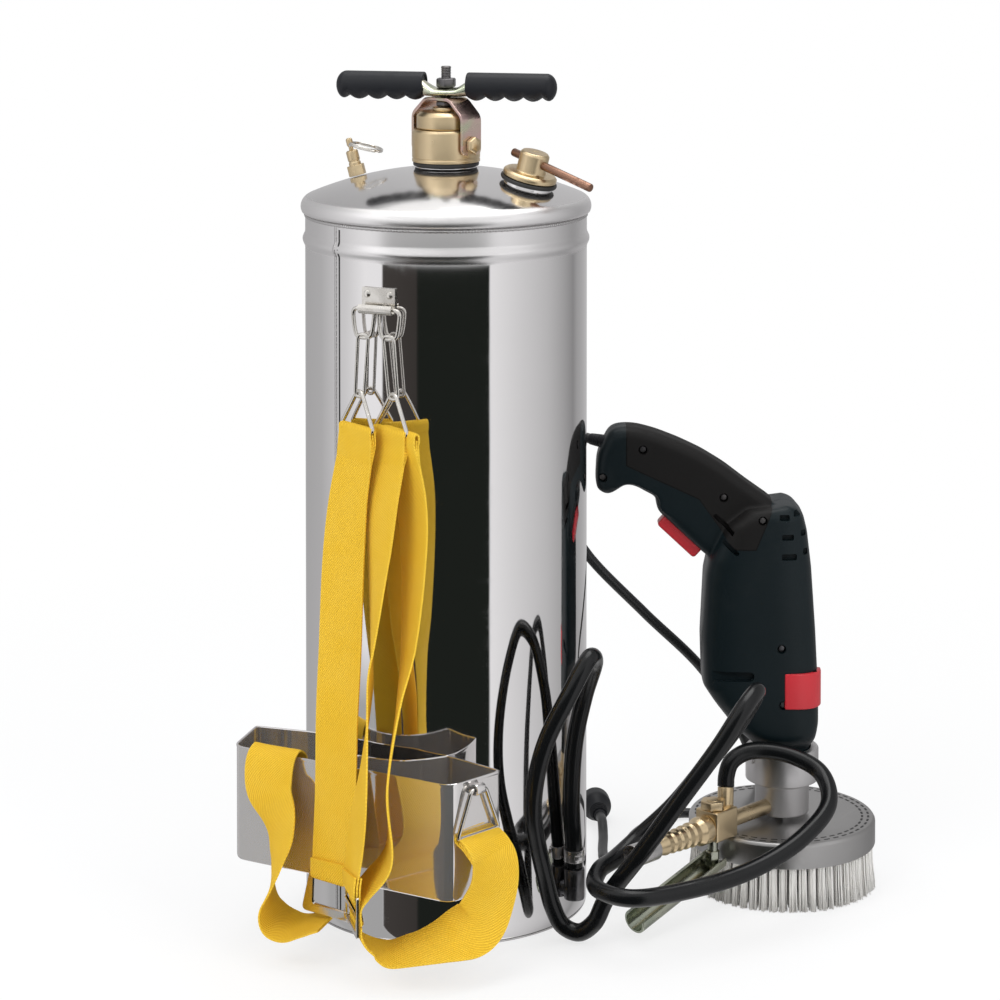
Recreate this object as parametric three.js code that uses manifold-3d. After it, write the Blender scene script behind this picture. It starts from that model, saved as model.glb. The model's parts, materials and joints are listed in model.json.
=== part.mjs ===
// A backpack sprayer: a steel pressure tank with a hand pump, a filler cap, a safety valve, shoulder
// straps and a hip tray, and the drill-driven wash brush that its hose feeds.
// Millimetres, +Z up. The tank's axis is x = y = 0, its base is z = 0 and the wearer stands at -Y.
import * as THREE from "three";
import { mergeVertices } from "three/addons/utils/BufferGeometryUtils.js";
import Module from "manifold-3d";

const wasm = await Module();
wasm.setup();

const degree = Math.PI / 180;

// Fits
const seat = 0.3; // gap between pieces that rest on or in each other
const slide = 0.5; // gap between pieces that move on each other

// Tank
const shellRadius = 110;
const tankSheet = 1.2;
const tankSides = 32;
const shellTop = 540;
const swageHeight = shellTop - 24;
const swageSpan = 14;
const swageRise = 2;
const basePlate = 1.5;
const baseSkirt = 14;
const lipRadius = shellRadius + 3.5;
const lipHeight = shellTop + 5;
const knuckleRadius = 9;
const domeRise = 30; // from the lip to the top of the dome

// Pump
const neckBore = 20.3;
const neckWall = 3.7;
const neckDepth = 18;
const neckProud = 1;
const gasketThickness = 2.7;
const collarRadius = 26.6;
const collarHeight = 25.3;
const collarSpigot = 7;
const glandRadius = 23;
const glandTaper = 3;
const glandHeight = 13.5;
const glandBore = 8.5;
const glandNutHeight = 3;
const barrelRadius = 17.5;
const barrelWall = 1.2;
const barrelFoot = 90;
const pistonHeight = 18;
const rodRadius = 4;
const rodProud = 9.4; // above the top nut
const nutAcross = 14;
const lockNutHeight = 4.4;
const topNutHeight = 7;
const pinShank = 4;
const pinHeadRadius = 6.4;
const pinHeadLength = 5.2;
const pinDrop = 10.5; // from the collar's top to the pins
const yokeTurn = -17 * degree;
const yokeStrip = 2.5;
const yokeWidth = 20;
const yokeLegFoot = 8; // below the pins
const handleTurn = 18 * degree;
const handleHalfSpan = 88;
const gripStart = 17;
const gripRadius = 11;
const gripPitch = 15;
const gripValley = 3.6;
const barRadius = 7.5;
const barFlatHalf = 3.6;

// Filler cap
const fillerReach = shellRadius - 36.7;
const fillerTurn = 0;
const fillerBore = 15.3;
const fillerNeckWall = 3.7;
const fillerNeckDepth = 12;
const fillerNeckProud = 1.5;
const fillerGasketRadius = 22;
const fillerGasketThickness = 3.2;
const fillerFlangeRadius = 21;
const fillerFlangeHeight = 5;
const fillerHubRadius = 11.5;
const fillerHubHeight = 16;
const fillerSpigot = 7;
const tommyRadius = 3.25;
const tommyLength = 84;
const tommyTurn = -14 * degree;
const tommyOffset = 20;

// Safety valve
const reliefReach = shellRadius - 39;
const reliefTurn = 198 * degree;
const reliefShank = 3.4;
const reliefHexAcross = 12.5;
const reliefHexHeight = 9;
const reliefBodyRadius = 4.8;
const reliefBodyHeight = 21;
const reliefStemRadius = 1.8;
const reliefStemTop = 27;
const reliefWire = 0.9;
const reliefRingRadius = 13.5;
const reliefRingHang = 62 * degree; // how far the ring leans out at rest

// Hanger, hooks and straps
const hangerTurn = 4 * degree;
const hangerDrop = 36.5; // from the swage to the hanger's eye
const hangerEyeHeight = swageHeight - hangerDrop;
const hangerTop = hangerEyeHeight + 15.5;
const hangerWidth = 28;
const hangerPlate = 1.6;
const hangerEyeLength = 30;
const eyeRadius = 4.2;
const eyeBore = 2.4;
const wireRadius = 1.6;
const triangleTurn = -26 * degree; // of the webbing triangles, in the hanger's frame
const chainDrop = 90; // from the hanger's eye to the triangles' lower bars
const hookFoot = hangerEyeHeight - chainDrop;
const webWidth = 40;
const webThickness = 2;
const ringPlace = new THREE.Vector3(4, -shellRadius - 58.5, 0);
const ringTurn = -8 * degree;
const ringTop = 70;
const ringPlate = 2.4;
const sliderPlace = new THREE.Vector3(33.9, -shellRadius - 79.9, 0);
const sliderTurn = -46 * degree;
const sliderTop = 71;
const sliderHeight = 30;
const sliderBar = 4;

// Hip tray
const trayFloor = 58;
const trayHeight = 87;
const traySheet = 1.2;
const trayFront = shellRadius + 43.6;
const trayHalfFront = shellRadius - 14;
const trayHalfBack = shellRadius - 1;
const trayBack = shellRadius - 5;
const trayWeldDepth = shellRadius - 16;
const trayWeldHalf = Math.sqrt((shellRadius + 2 * seat) ** 2 - trayWeldDepth ** 2);
const trayBulge = shellRadius + 16.5;
const eyeWeld = 0.4; // how far an eye sinks into the sheet it is welded to
const trayEyeDrop = 7; // from the rim to the eyes that hold the strap rings

// Hose and power cord
const outletHeight = 28;
const outletTurn = -3 * degree;
const outletSpigot = 6.6;
const outletBody = 8;
const outletRise = 16;
const hoseRadius = 6.6;
const hoseSides = 8;
const hoseSteps = 52;
const cordRadius = 4;
const cordSides = 8;
const cordSteps = 36;

// Drill and wash brush, in the tool's own frame: the brush's axis is its Z
const toolPlace = new THREE.Vector3(shellRadius + 105.2, 161.2, 0);
const toolTurn = 30 * degree;
const bodyHalf = 33;
const handleHalf = 17;
const housingRound = 9;
const noseRadius = 22.3;
const noseFoot = 99;
const motorAxis = -24.3;
const statorRadius = 23;
const armatureRadius = 15;
const motorFoot = 178;
const motorHeight = 54;
const gearRadius = 19.8;
const gearFoot = 140;
const gearHeight = 9;
const outputRadius = 6;
const triggerWidth = 14.6;
const cupRadius = 29;
const cupTop = 109;
const cupFoot = 83;
const stemRadius = 21.5;
const stemFoot = 56.5;
const spindleRadius = 8;
const brushRadius = 74;
const brushTop = 54;
const brushRim = 20;
const brushSheet = 2;
const brushSides = 26;
const tuftRadius = 2;
const tuftRings = 8;
const tuftPitch = 7.3;
const tuftSpacing = 7.15;
const waterAxis = 226 * degree; // from the brush's axis towards the valve
const waterHeight = 64;
const valveNear = brushRadius - 6;
const valveFar = brushRadius + 20;
const valveHalf = 11;
const valveBottom = 55;
const valveTop = 78;
const tapPlace = brushRadius + 12;
const tapStem = 4.2;
const leverRadius = 9.5;
const leverWall = 1.6;
const leverHeel = 6; // from the stem back to the lever's short end
const leverLength = 101;
const leverSlope = 14.6 * degree;
const nippleEnd = brushRadius + 91;
const sleeveStart = brushRadius + 75;
const sleeveEnd = brushRadius + 107;
const sleeveRadius = 8.6;

// Heights that follow from the sizes above
const domeRadius = (() => {
  const reach = lipRadius - knuckleRadius;
  const drop = domeRise - knuckleRadius;
  return domeRise + (reach * reach - drop * drop) / (2 * drop);
})();
const domeCentre = lipHeight + domeRise - domeRadius;
const neckTop = lipHeight + domeRise + neckProud;
const gasketFoot = neckTop + seat;
const collarFoot = gasketFoot + gasketThickness + seat;
const collarTop = collarFoot + collarHeight;
const pinHeight = collarTop - pinDrop;
const glandFoot = collarTop + seat;
const glandTop = glandFoot + glandHeight;
const glandNutFoot = glandTop + seat;
const lockNutFoot = glandNutFoot + glandNutHeight + slide;
const yokeTopFoot = lockNutFoot + lockNutHeight + seat;
const barFoot = yokeTopFoot + yokeStrip + seat;
const barCentre = barFoot + barFlatHalf;
const topNutFoot = barCentre + barFlatHalf + seat;
const rodTop = topNutFoot + topNutHeight + rodProud;
const yokeInner = collarRadius + 0.7;
const pistonFoot = barrelFoot + 12;
const fillerFlangeFoot = fillerNeckProud + seat + fillerGasketThickness + seat;
const fillerTop = fillerFlangeFoot + fillerFlangeHeight + fillerHubHeight;
const tommyHeight = fillerTop - 7.5;
const trayRim = trayFloor + trayHeight;
const pinionRadius = Math.abs(motorAxis) - gearRadius - seat;

const material = (color, roughness, metalness) =>
  new THREE.MeshStandardMaterial({ color, roughness, metalness });
const mirrorSteel = material(0xc9c9cb, 0.12, 1);
const satinSteel = material(0xa9a9ab, 0.35, 1);
const brass = material(0xb08a4c, 0.3, 1);
const bronze = material(0xa5673f, 0.35, 1);
const zincSteel = material(0xb9ab7c, 0.35, 0.9);
const blackSteel = material(0x2b2b2d, 0.4, 0.8);
const wireSteel = material(0xc4c2bd, 0.25, 1);
const blackRubber = material(0x1b1c1e, 0.7, 0);
const nitrile = material(0x161616, 0.6, 0);
const hosePlastic = material(0x0e0f10, 0.25, 0);
const webbing = material(0xf0b92d, 0.8, 0);
const housingPlastic = material(0x17222a, 0.45, 0);
const redPlastic = material(0xc22330, 0.4, 0);
const copperWinding = material(0x9a5a34, 0.4, 0.8);
const castAluminium = material(0xa8a5a6, 0.45, 0.9);
const bristleNylon = material(0xd9d5cd, 0.7, 0);

const v = (x, y, z) => new THREE.Vector3(x, y, z);

// A closed manifold solid from a three.js geometry, placed by a matrix.
function solid(geometry, matrix = new THREE.Matrix4()) {
  const bare = new THREE.BufferGeometry();
  const source = geometry.index ? geometry.toNonIndexed() : geometry;
  bare.setAttribute("position", source.getAttribute("position").clone());
  bare.applyMatrix4(matrix);
  const merged = mergeVertices(bare, 1e-4);
  const vertProperties = merged.attributes.position.array;
  const make = (triVerts) =>
    new wasm.Manifold(new wasm.Mesh({ numProp: 3, vertProperties, triVerts }));
  const triVerts = new Uint32Array(merged.index.array);
  const made = make(triVerts);
  return made.volume() < 0 ? make(triVerts.slice().reverse()) : made;
}

function piece(parent, name, shape, look) {
  const made = shape.getMesh();
  const geometry = new THREE.BufferGeometry();
  geometry.setAttribute(
    "position",
    new THREE.BufferAttribute(made.vertProperties, made.numProp),
  );
  geometry.setIndex(new THREE.BufferAttribute(made.triVerts, 1));
  geometry.computeVertexNormals();
  const mesh = new THREE.Mesh(geometry, look);
  mesh.name = name;
  parent.add(mesh);
}

const join = (...shapes) => shapes.reduce((a, b) => a.add(b));
const cut = (shape, ...tools) =>
  tools.reduce((a, b) => a.subtract(b), shape);

// A turned solid round Z from [radius, height] points; it starts and ends on the axis or closes on itself.
function turned(profile, sides = 40, matrix) {
  const points = profile.map(([r, z]) => new THREE.Vector2(r, z));
  if (profile[0][0] > 0) points.push(points[0].clone());
  const geometry = new THREE.LatheGeometry(points, sides);
  return solid(geometry.rotateX(Math.PI / 2), matrix);
}

// A ring of square section from one height to another.
const ring = (inner, outer, foot, top, sides) =>
  turned([[inner, foot], [outer, foot], [outer, top], [inner, top]], sides);

const disc = (radius, foot, top, sides) =>
  turned([[0, foot], [radius, foot], [radius, top], [0, top]], sides);

function rod(from, to, radius, sides = 12, tipRadius = radius) {
  const along = to.clone().sub(from);
  const geometry = new THREE.CylinderGeometry(tipRadius, radius, along.length(), sides);
  const turn = new THREE.Quaternion().setFromUnitVectors(v(0, 1, 0), along.clone().normalize());
  const middle = from.clone().addScaledVector(along, 0.5);
  return solid(geometry, new THREE.Matrix4().compose(middle, turn, v(1, 1, 1)));
}

const block = (size, centre) =>
  solid(new THREE.BoxGeometry(...size), new THREE.Matrix4().makeTranslation(...centre));

function hex(across, foot, top) {
  const turn = new THREE.Matrix4().makeRotationX(Math.PI / 2);
  const place = new THREE.Matrix4().makeTranslation(0, 0, (foot + top) / 2);
  const radius = across / Math.sqrt(3);
  return solid(new THREE.CylinderGeometry(radius, radius, top - foot, 6), place.multiply(turn));
}

// A flat outline, given as [x, z], made this thick about y = 0.
function slab(outline, thickness, round = 0) {
  const shape = new THREE.Shape(outline.map(([x, z]) => new THREE.Vector2(x, z)));
  const geometry = new THREE.ExtrudeGeometry(shape, {
    depth: thickness - 2 * round,
    bevelEnabled: round > 0,
    bevelSize: round,
    bevelThickness: round,
    bevelOffset: -round,
    bevelSegments: 2,
  });
  geometry.translate(0, 0, round - thickness / 2);
  return solid(geometry.rotateX(Math.PI / 2));
}

// An upright prism over an outline given as [x, y].
function prism(outline, foot, top) {
  const shape = new THREE.Shape(outline.map(([x, y]) => new THREE.Vector2(x, y)));
  const geometry = new THREE.ExtrudeGeometry(shape, { depth: top - foot, bevelEnabled: false });
  return solid(geometry.translate(0, 0, foot));
}

const polygon = (radius, sides) =>
  Array.from({ length: sides }, (_, i) => {
    const angle = (2 * Math.PI * i) / sides;
    return new THREE.Vector2(radius * Math.cos(angle), radius * Math.sin(angle));
  });

function tube(points, radius, sides, steps) {
  const extrudePath = new THREE.CatmullRomCurve3(points.map((p) => v(...p)));
  const shape = new THREE.Shape(polygon(radius, sides));
  return solid(new THREE.ExtrudeGeometry(shape, { steps, extrudePath }));
}

// Rings of points joined into one closed skin; the ends are closed unless the last ring meets the first.
function skin(rings, closed) {
  const count = rings[0].length;
  const positions = rings.flat().flatMap((p) => p.toArray());
  const index = [];
  const last = closed ? rings.length : rings.length - 1;
  for (let i = 0; i < last; i++) {
    const a = i * count;
    const b = ((i + 1) % rings.length) * count;
    for (let j = 0; j < count; j++) {
      const k = (j + 1) % count;
      index.push(a + j, b + j, b + k, a + j, b + k, a + k);
    }
  }
  if (!closed) {
    const end = (rings.length - 1) * count;
    for (let j = 0; j < count / 2 - 1; j++) {
      const k = count - 1 - j;
      index.push(j, j + 1, k - 1, j, k - 1, k);
      index.push(end + j, end + k - 1, end + j + 1, end + j, end + k, end + k - 1);
    }
  }
  const geometry = new THREE.BufferGeometry();
  geometry.setAttribute("position", new THREE.Float32BufferAttribute(positions, 3));
  geometry.setIndex(index);
  return solid(geometry);
}

// Corners cut back by a reach and rounded with a few points each.
function rounded(corners, reach, steps = 3) {
  const count = corners.length;
  return corners.flatMap((corner, i) => {
    const before = corners[(i + count - 1) % count].clone().sub(corner).setLength(reach).add(corner);
    const after = corners[(i + 1) % count].clone().sub(corner).setLength(reach).add(corner);
    return new THREE.QuadraticBezierCurve3(before, corner, after).getPoints(steps);
  });
}

// A closed wire through points that lie in one plane.
function wireLoop(points, normal, radius, sides = 6) {
  const count = points.length;
  const rings = points.map((point, i) => {
    const along = points[(i + 1) % count].clone().sub(points[(i + count - 1) % count]);
    const across = along.cross(normal).normalize();
    return polygon(radius, sides).map((p) =>
      point.clone().addScaledVector(across, p.x).addScaledVector(normal, p.y),
    );
  });
  return skin(rings, true);
}

// A strip of webbing through stations [x, y, z, turn, pitch]: turn and pitch aim its width, in degrees.
function strap(stations, steps) {
  const path = new THREE.CatmullRomCurve3(stations.map(([x, reach, z]) => v(x, -shellRadius - reach, z)));
  const aim = (key) => (t) => {
    const place = t * (stations.length - 1);
    const i = Math.min(Math.floor(place), stations.length - 2);
    const share = THREE.MathUtils.smoothstep(place - i, 0, 1);
    return THREE.MathUtils.lerp(stations[i][key], stations[i + 1][key], share) * degree;
  };
  const [turn, pitch] = [3, 4].map(aim);
  const rings = [];
  for (let i = 0; i <= steps; i++) {
    const t = i / steps;
    const along = path.getTangent(t);
    const level = Math.cos(pitch(t));
    const wanted = v(Math.cos(turn(t)) * level, Math.sin(turn(t)) * level, Math.sin(pitch(t)));
    const normal = along.clone().cross(wanted).normalize();
    const across = normal.clone().cross(along).normalize();
    const corner = (side, face) =>
      path
        .getPoint(t)
        .addScaledVector(across, (side * webWidth) / 2)
        .addScaledVector(normal, (face * webThickness) / 2);
    rings.push([corner(-1, 1), corner(1, 1), corner(1, -1), corner(-1, -1)]);
  }
  return skin(rings, false);
}

const group = (parent, place = v(0, 0, 0), turn = 0) => {
  const made = new THREE.Group();
  made.position.copy(place);
  made.rotation.z = turn;
  parent.add(made);
  return made;
};

const domeHeight = (reach) => domeCentre + Math.sqrt(domeRadius ** 2 - reach ** 2);

// A group that stands square on the dome at a reach and a turn from its axis.
function onDome(parent, reach, turn) {
  const made = group(parent);
  made.applyMatrix4(domeMatrix(reach, turn));
  return made;
}

function domeMatrix(reach, turn) {
  const lean = new THREE.Matrix4().makeRotationY(Math.asin(reach / domeRadius));
  const place = new THREE.Matrix4().makeTranslation(reach, 0, domeHeight(reach));
  return new THREE.Matrix4().makeRotationZ(turn).multiply(place).multiply(lean);
}

function makeShell(root) {
  const foot = basePlate + seat;
  const low = swageHeight - swageSpan / 2;
  const high = swageHeight + swageSpan / 2;
  const shoulder = swageSpan / 4;
  const side = (radius) => [
    [radius, foot],
    [radius, low],
    [radius + swageRise, low + shoulder],
    [radius + swageRise, high - shoulder],
    [radius, high],
    [radius, shellTop],
  ];
  const wall = turned([...side(shellRadius), ...side(shellRadius - tankSheet).reverse()], tankSides);
  const reach = (radius) =>
    v(radius * Math.cos(outletTurn), radius * Math.sin(outletTurn), outletHeight);
  const outlet = rod(reach(shellRadius - 12), reach(shellRadius + 12), outletSpigot + seat, 16);
  piece(root, "tank_shell", cut(wall, outlet), mirrorSteel);
}

function makeBase(root) {
  const skirt = shellRadius - tankSheet - seat;
  const pan = turned(
    [
      [0, 0],
      [shellRadius - seat, 0],
      [shellRadius - seat, basePlate],
      [skirt, basePlate],
      [skirt, baseSkirt],
      [skirt - tankSheet, baseSkirt],
      [skirt - tankSheet, basePlate],
      [0, basePlate],
    ],
    tankSides,
  );
  piece(root, "base_pan", pan, satinSteel);
}

function domeProfile(inset) {
  const radius = domeRadius - inset;
  const edge = Math.asin((lipRadius - knuckleRadius) / (domeRadius - knuckleRadius));
  const dome = [0, 0.5, 1].map((share) => {
    const angle = edge * share;
    return [radius * Math.sin(angle), domeCentre + radius * Math.cos(angle)];
  });
  const knuckle = [0.5, 1].map((share) => {
    const angle = Math.PI / 2 - edge - share * (Math.PI / 2 - edge);
    const reach = knuckleRadius - inset;
    const middle = lipRadius - knuckleRadius;
    return [middle + reach * Math.cos(angle), lipHeight + reach * Math.sin(angle)];
  });
  return [...dome, ...knuckle, [shellRadius - inset, shellTop + seat]];
}

function makeHead(root) {
  const dome = turned([...domeProfile(0), ...domeProfile(tankSheet).reverse()], tankSides);
  const pumpNeck = ring(neckBore, neckBore + neckWall, neckTop - neckDepth, neckTop, 20);
  const atFiller = domeMatrix(fillerReach, fillerTurn);
  const outer = fillerBore + fillerNeckWall;
  const fillerNeck = turned(
    [
      [fillerBore, -fillerNeckDepth],
      [outer, -fillerNeckDepth],
      [outer, fillerNeckProud],
      [fillerBore, fillerNeckProud],
    ],
    16,
    atFiller,
  );
  const fillerHole = turned([[0, -20], [fillerBore + 1, -20], [fillerBore + 1, 20], [0, 20]], 16, atFiller);
  const reliefHole = turned(
    [[0, -9], [reliefShank + seat, -9], [reliefShank + seat, 9], [0, 9]],
    10,
    domeMatrix(reliefReach, reliefTurn),
  );
  const pumpHole = disc(neckBore + 1, neckTop - 2 * neckDepth, neckTop + neckDepth, 20);
  const head = join(cut(dome, pumpHole, fillerHole, reliefHole), pumpNeck, fillerNeck);
  piece(root, "top_head", head, mirrorSteel);
}

function makePump(root) {
  const gasket = ring(neckBore + seat, collarRadius - 1, gasketFoot, gasketFoot + gasketThickness, 16);
  piece(root, "pump_gasket", gasket, nitrile);
  const frame = group(root, v(0, 0, 0), yokeTurn);
  const spigot = neckBore - 0.4;
  const collar = turned(
    [
      [glandBore, collarFoot - gasketThickness - collarSpigot],
      [spigot, collarFoot - gasketThickness - collarSpigot],
      [spigot, collarFoot],
      [collarRadius, collarFoot],
      [collarRadius, collarTop - 1],
      [collarRadius - 1, collarTop],
      [glandBore, collarTop],
    ],
    16,
  );
  const pinHole = (side) =>
    rod(v(side * 13.7, 0, pinHeight), v(side * 40, 0, pinHeight), pinShank + seat, 14);
  piece(frame, "pump_collar", cut(collar, pinHole(1), pinHole(-1)), brass);
  for (const [name, side] of [["pump_pin_left", -1], ["pump_pin_right", 1]]) {
    const headStart = yokeInner + yokeStrip + slide;
    const shank = rod(v(side * 14, 0, pinHeight), v(side * (headStart + 1), 0, pinHeight), pinShank, 14);
    const head = rod(
      v(side * headStart, 0, pinHeight),
      v(side * (headStart + pinHeadLength), 0, pinHeight),
      pinHeadRadius,
      6,
      pinHeadRadius * 0.8,
    );
    piece(frame, name, join(shank, head), brass);
  }
  const gland = turned(
    [
      [glandBore, glandFoot],
      [glandRadius, glandFoot],
      [glandRadius, glandTop - glandTaper],
      [glandRadius - glandTaper, glandTop],
      [glandBore, glandTop],
    ],
    16,
  );
  piece(frame, "gland_ring", gland, brass);
  const nutBore = rodRadius + slide;
  piece(frame, "gland_nut", ring(nutBore, glandBore + 2, glandNutFoot, glandNutFoot + glandNutHeight, 12), brass);
  makeBarrel(frame);
}

function makeBarrel(frame) {
  const top = collarFoot - gasketThickness - collarSpigot - seat;
  const flange = barrelRadius + 1.8;
  const barrel = turned(
    [
      [barrelRadius - barrelWall, barrelFoot],
      [barrelRadius, barrelFoot],
      [barrelRadius, top - 2],
      [flange, top - 2],
      [flange, top],
      [barrelRadius - barrelWall, top],
    ],
    16,
  );
  piece(frame, "pump_barrel", barrel, brass);
  const bore = barrelRadius - barrelWall - seat;
  const valve = turned(
    [
      [4, barrelFoot - 5],
      [barrelRadius, barrelFoot - 5],
      [barrelRadius, barrelFoot - seat],
      [bore, barrelFoot - seat],
      [bore, barrelFoot + 7],
      [4, barrelFoot + 7],
    ],
    16,
  );
  piece(frame, "foot_valve", valve, brass);
}

function makeStroke(root) {
  const handle = group(root, v(0, 0, 0), handleTurn);
  const tip = rodTop - 1.5;
  const spindle = turned(
    [
      [0, pistonFoot + pistonHeight + seat],
      [rodRadius, pistonFoot + pistonHeight + seat],
      [rodRadius, tip],
      [rodRadius - 1.5, rodTop],
      [0, rodTop],
    ],
    16,
  );
  piece(handle, "pump_rod", spindle, blackSteel);
  const bore = barrelRadius - barrelWall - slide;
  piece(handle, "pump_piston", disc(bore, pistonFoot, pistonFoot + pistonHeight, 16), blackRubber);
  const nutHole = (foot, top) => disc(rodRadius + seat, foot - 1, top + 1, 16);
  for (const [name, foot, height] of [
    ["lock_nut", lockNutFoot, lockNutHeight],
    ["top_nut", topNutFoot, topNutHeight],
  ])
    piece(handle, name, cut(hex(nutAcross, foot, foot + height), nutHole(foot, foot + height)), blackSteel);
  makeHandleBar(handle);
  for (const [name, side] of [["grip_left", -1], ["grip_right", 1]])
    piece(handle, name, gripShape(side), blackRubber);
  makeYoke(group(root, v(0, 0, 0), yokeTurn));
}

// One oval section of the handle, square to x.
const oval = (x, z, up, down, half, sides = 12) =>
  polygon(1, sides).map((p) => v(x, p.x * half, z + p.y * (p.y > 0 ? up : down)));

function makeHandleBar(handle) {
  const end = handleHalfSpan - 4;
  const half = [
    [9, barFlatHalf, 11.5],
    [14, 5, 9.6],
    [19, 6.6, 8.2],
    [25, barRadius, barRadius],
    [end, barRadius, barRadius],
  ];
  const at = (side) => ([x, tall, wide]) => {
    const centre = barFoot + tall + (tall - barFlatHalf) * 0.18;
    return oval(side * x, centre, tall, tall, wide, 10);
  };
  const bar = skin([...half.map(at(-1)).reverse(), ...half.map(at(1))], false);
  const hole = disc(rodRadius + seat, barFoot - 20, topNutFoot + 20, 16);
  piece(handle, "handle_bar", cut(bar, hole), zincSteel);
}

function gripShape(side) {
  const axis = barFoot + barRadius + (barRadius - barFlatHalf) * 0.18;
  const rings = [];
  const steps = 14;
  for (let i = 0; i <= steps; i++) {
    const x = gripStart + ((handleHalfSpan - gripStart) * i) / steps;
    const left = (handleHalfSpan - x) / 7;
    const nose = left < 1 ? Math.sqrt(1 - 0.85 * (1 - left) ** 2) : 1;
    const lobe = Math.abs(Math.sin((Math.PI * (x - gripStart)) / gripPitch));
    const down = gripRadius - gripValley * (1 - lobe);
    rings.push(oval(side * x, axis, gripRadius * nose, down * nose, gripRadius * nose, 8));
  }
  const bore = rod(v(0, 0, axis), v(side * (handleHalfSpan - 3.5), 0, axis), barRadius + seat, 12);
  const mouth = skin(
    [0, 26.5].map((x) => oval(side * x, axis, barRadius + 1, barRadius + 1.5, barRadius + 2.4)),
    false,
  );
  return cut(skin(rings, false), bore, mouth);
}

function makeYoke(frame) {
  const inner = yokeInner;
  const outer = inner + yokeStrip;
  const foot = pinHeight - yokeLegFoot;
  const shoulder = glandTop - glandTaper - 1;
  const flat = 14;
  const half = [
    [outer, foot],
    [outer, shoulder + 1],
    [flat, yokeTopFoot + yokeStrip],
  ];
  const insideHalf = [
    [flat - 1, yokeTopFoot],
    [inner, shoulder],
    [inner, foot],
  ];
  const mirrored = (points) => points.map(([x, z]) => [-x, z]).reverse();
  const outline = [...half, ...mirrored(half), ...mirrored(insideHalf), ...insideHalf];
  const strip = slab(outline, yokeWidth);
  const gap = 2 * (pinShank + seat);
  const fork = (side) =>
    join(
      block([12, gap, pinHeight - foot + 4], [side * outer, 0, (pinHeight + foot) / 2 - 2]),
      rod(v(side * (inner - 5), 0, pinHeight), v(side * (outer + 5), 0, pinHeight), gap / 2, 16),
    );
  const hole = disc(rodRadius + seat, yokeTopFoot - 4, yokeTopFoot + 10, 16);
  piece(frame, "yoke", cut(strip, fork(1), fork(-1), hole), zincSteel);
}

function makeFiller(root) {
  const frame = onDome(root, fillerReach, fillerTurn);
  const gasketFoot = fillerNeckProud + seat;
  const gasket = ring(fillerBore + 0.4, fillerGasketRadius, gasketFoot, gasketFoot + fillerGasketThickness, 16);
  piece(frame, "filler_gasket", gasket, nitrile);
  const spigot = fillerBore - 0.4;
  const hubFoot = fillerFlangeFoot + fillerFlangeHeight;
  const cap = turned(
    [
      [0, -fillerSpigot],
      [spigot, -fillerSpigot],
      [spigot, fillerFlangeFoot],
      [fillerFlangeRadius, fillerFlangeFoot],
      [fillerFlangeRadius, hubFoot - 1.5],
      [fillerFlangeRadius - 2, hubFoot],
      [fillerHubRadius, hubFoot],
      [fillerHubRadius, fillerTop - 1.5],
      [fillerHubRadius - 1.5, fillerTop],
      [0, fillerTop],
    ],
    16,
  );
  const along = v(Math.cos(tommyTurn), Math.sin(tommyTurn), 0);
  const at = (reach) => along.clone().multiplyScalar(reach).setZ(tommyHeight);
  const hole = rod(at(-20), at(20), tommyRadius + seat, 14);
  piece(frame, "filler_cap", cut(cap, hole), brass);
  const bar = rod(at(tommyOffset - tommyLength / 2), at(tommyOffset + tommyLength / 2), tommyRadius, 14);
  piece(frame, "tommy_bar", bar, bronze);
}

function makeRelief(root) {
  const frame = onDome(root, reliefReach, reliefTurn);
  const chamber = reliefBodyRadius - 1.3;
  const bore = reliefStemRadius + seat;
  const shank = disc(reliefShank, -7, 1, 10);
  const body = join(shank, hex(reliefHexAcross, 0.7, reliefHexHeight), disc(reliefBodyRadius, 2, reliefBodyHeight, 14));
  const inside = join(disc(bore, -8, reliefBodyHeight + 1, 8), disc(chamber, 5, reliefBodyHeight - 1.5, 12));
  const sidePort = rod(v(0, 0, 16), v(0, -9, 16), 1.4, 10);
  piece(frame, "relief_body", cut(body, inside, sidePort), brass);
  const disk = disc(chamber - seat, 5.3, 7, 10);
  const stem = join(disc(reliefStemRadius, -5, reliefStemTop, 8), disk, rod(v(0, -1.4, reliefStemTop), v(0, 1.4, reliefStemTop), 3.6, 10));
  const eye = rod(v(0, -5, reliefStemTop), v(0, 5, reliefStemTop), reliefWire + seat + 0.3, 8);
  piece(frame, "relief_stem", cut(stem, eye), brass);
  piece(frame, "relief_spring", springShape(7.3, reliefBodyHeight - 1.8), wireSteel);
  const centre = v(0, 0, reliefStemTop - reliefRingRadius);
  const turn = [...Array(16).keys()].map((i) => {
    const angle = (2 * Math.PI * i) / 16;
    return v(0, Math.sin(angle), Math.cos(angle)).multiplyScalar(reliefRingRadius).add(centre);
  });
  const swung = turn.map((p) => p.sub(v(0, 0, reliefStemTop)).applyAxisAngle(v(0, 1, 0), reliefRingHang));
  const plane = v(1, 0, 0).applyAxisAngle(v(0, 1, 0), reliefRingHang);
  const placed = swung.map((p) => p.add(v(0, 0, reliefStemTop)));
  piece(frame, "pull_ring", wireLoop(placed, plane, reliefWire, 4), wireSteel);
}

// A coil spring with its two end turns lying flat.
function springShape(foot, top) {
  const wire = 0.45;
  const radius = reliefStemRadius + seat + wire + 0.35;
  const turns = 5;
  const points = [];
  const count = turns * 6;
  for (let i = 0; i <= count; i++) {
    const share = i / count;
    const angle = 2 * Math.PI * turns * share;
    const rise = THREE.MathUtils.smoothstep(share, 0.1, 0.9);
    const lift = foot + 0.6 + (top - foot - 1.2) * (0.12 * share + 0.88 * rise);
    points.push([radius * Math.cos(angle), radius * Math.sin(angle), lift]);
  }
  return tube(points, wire, 4, count);
}

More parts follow.
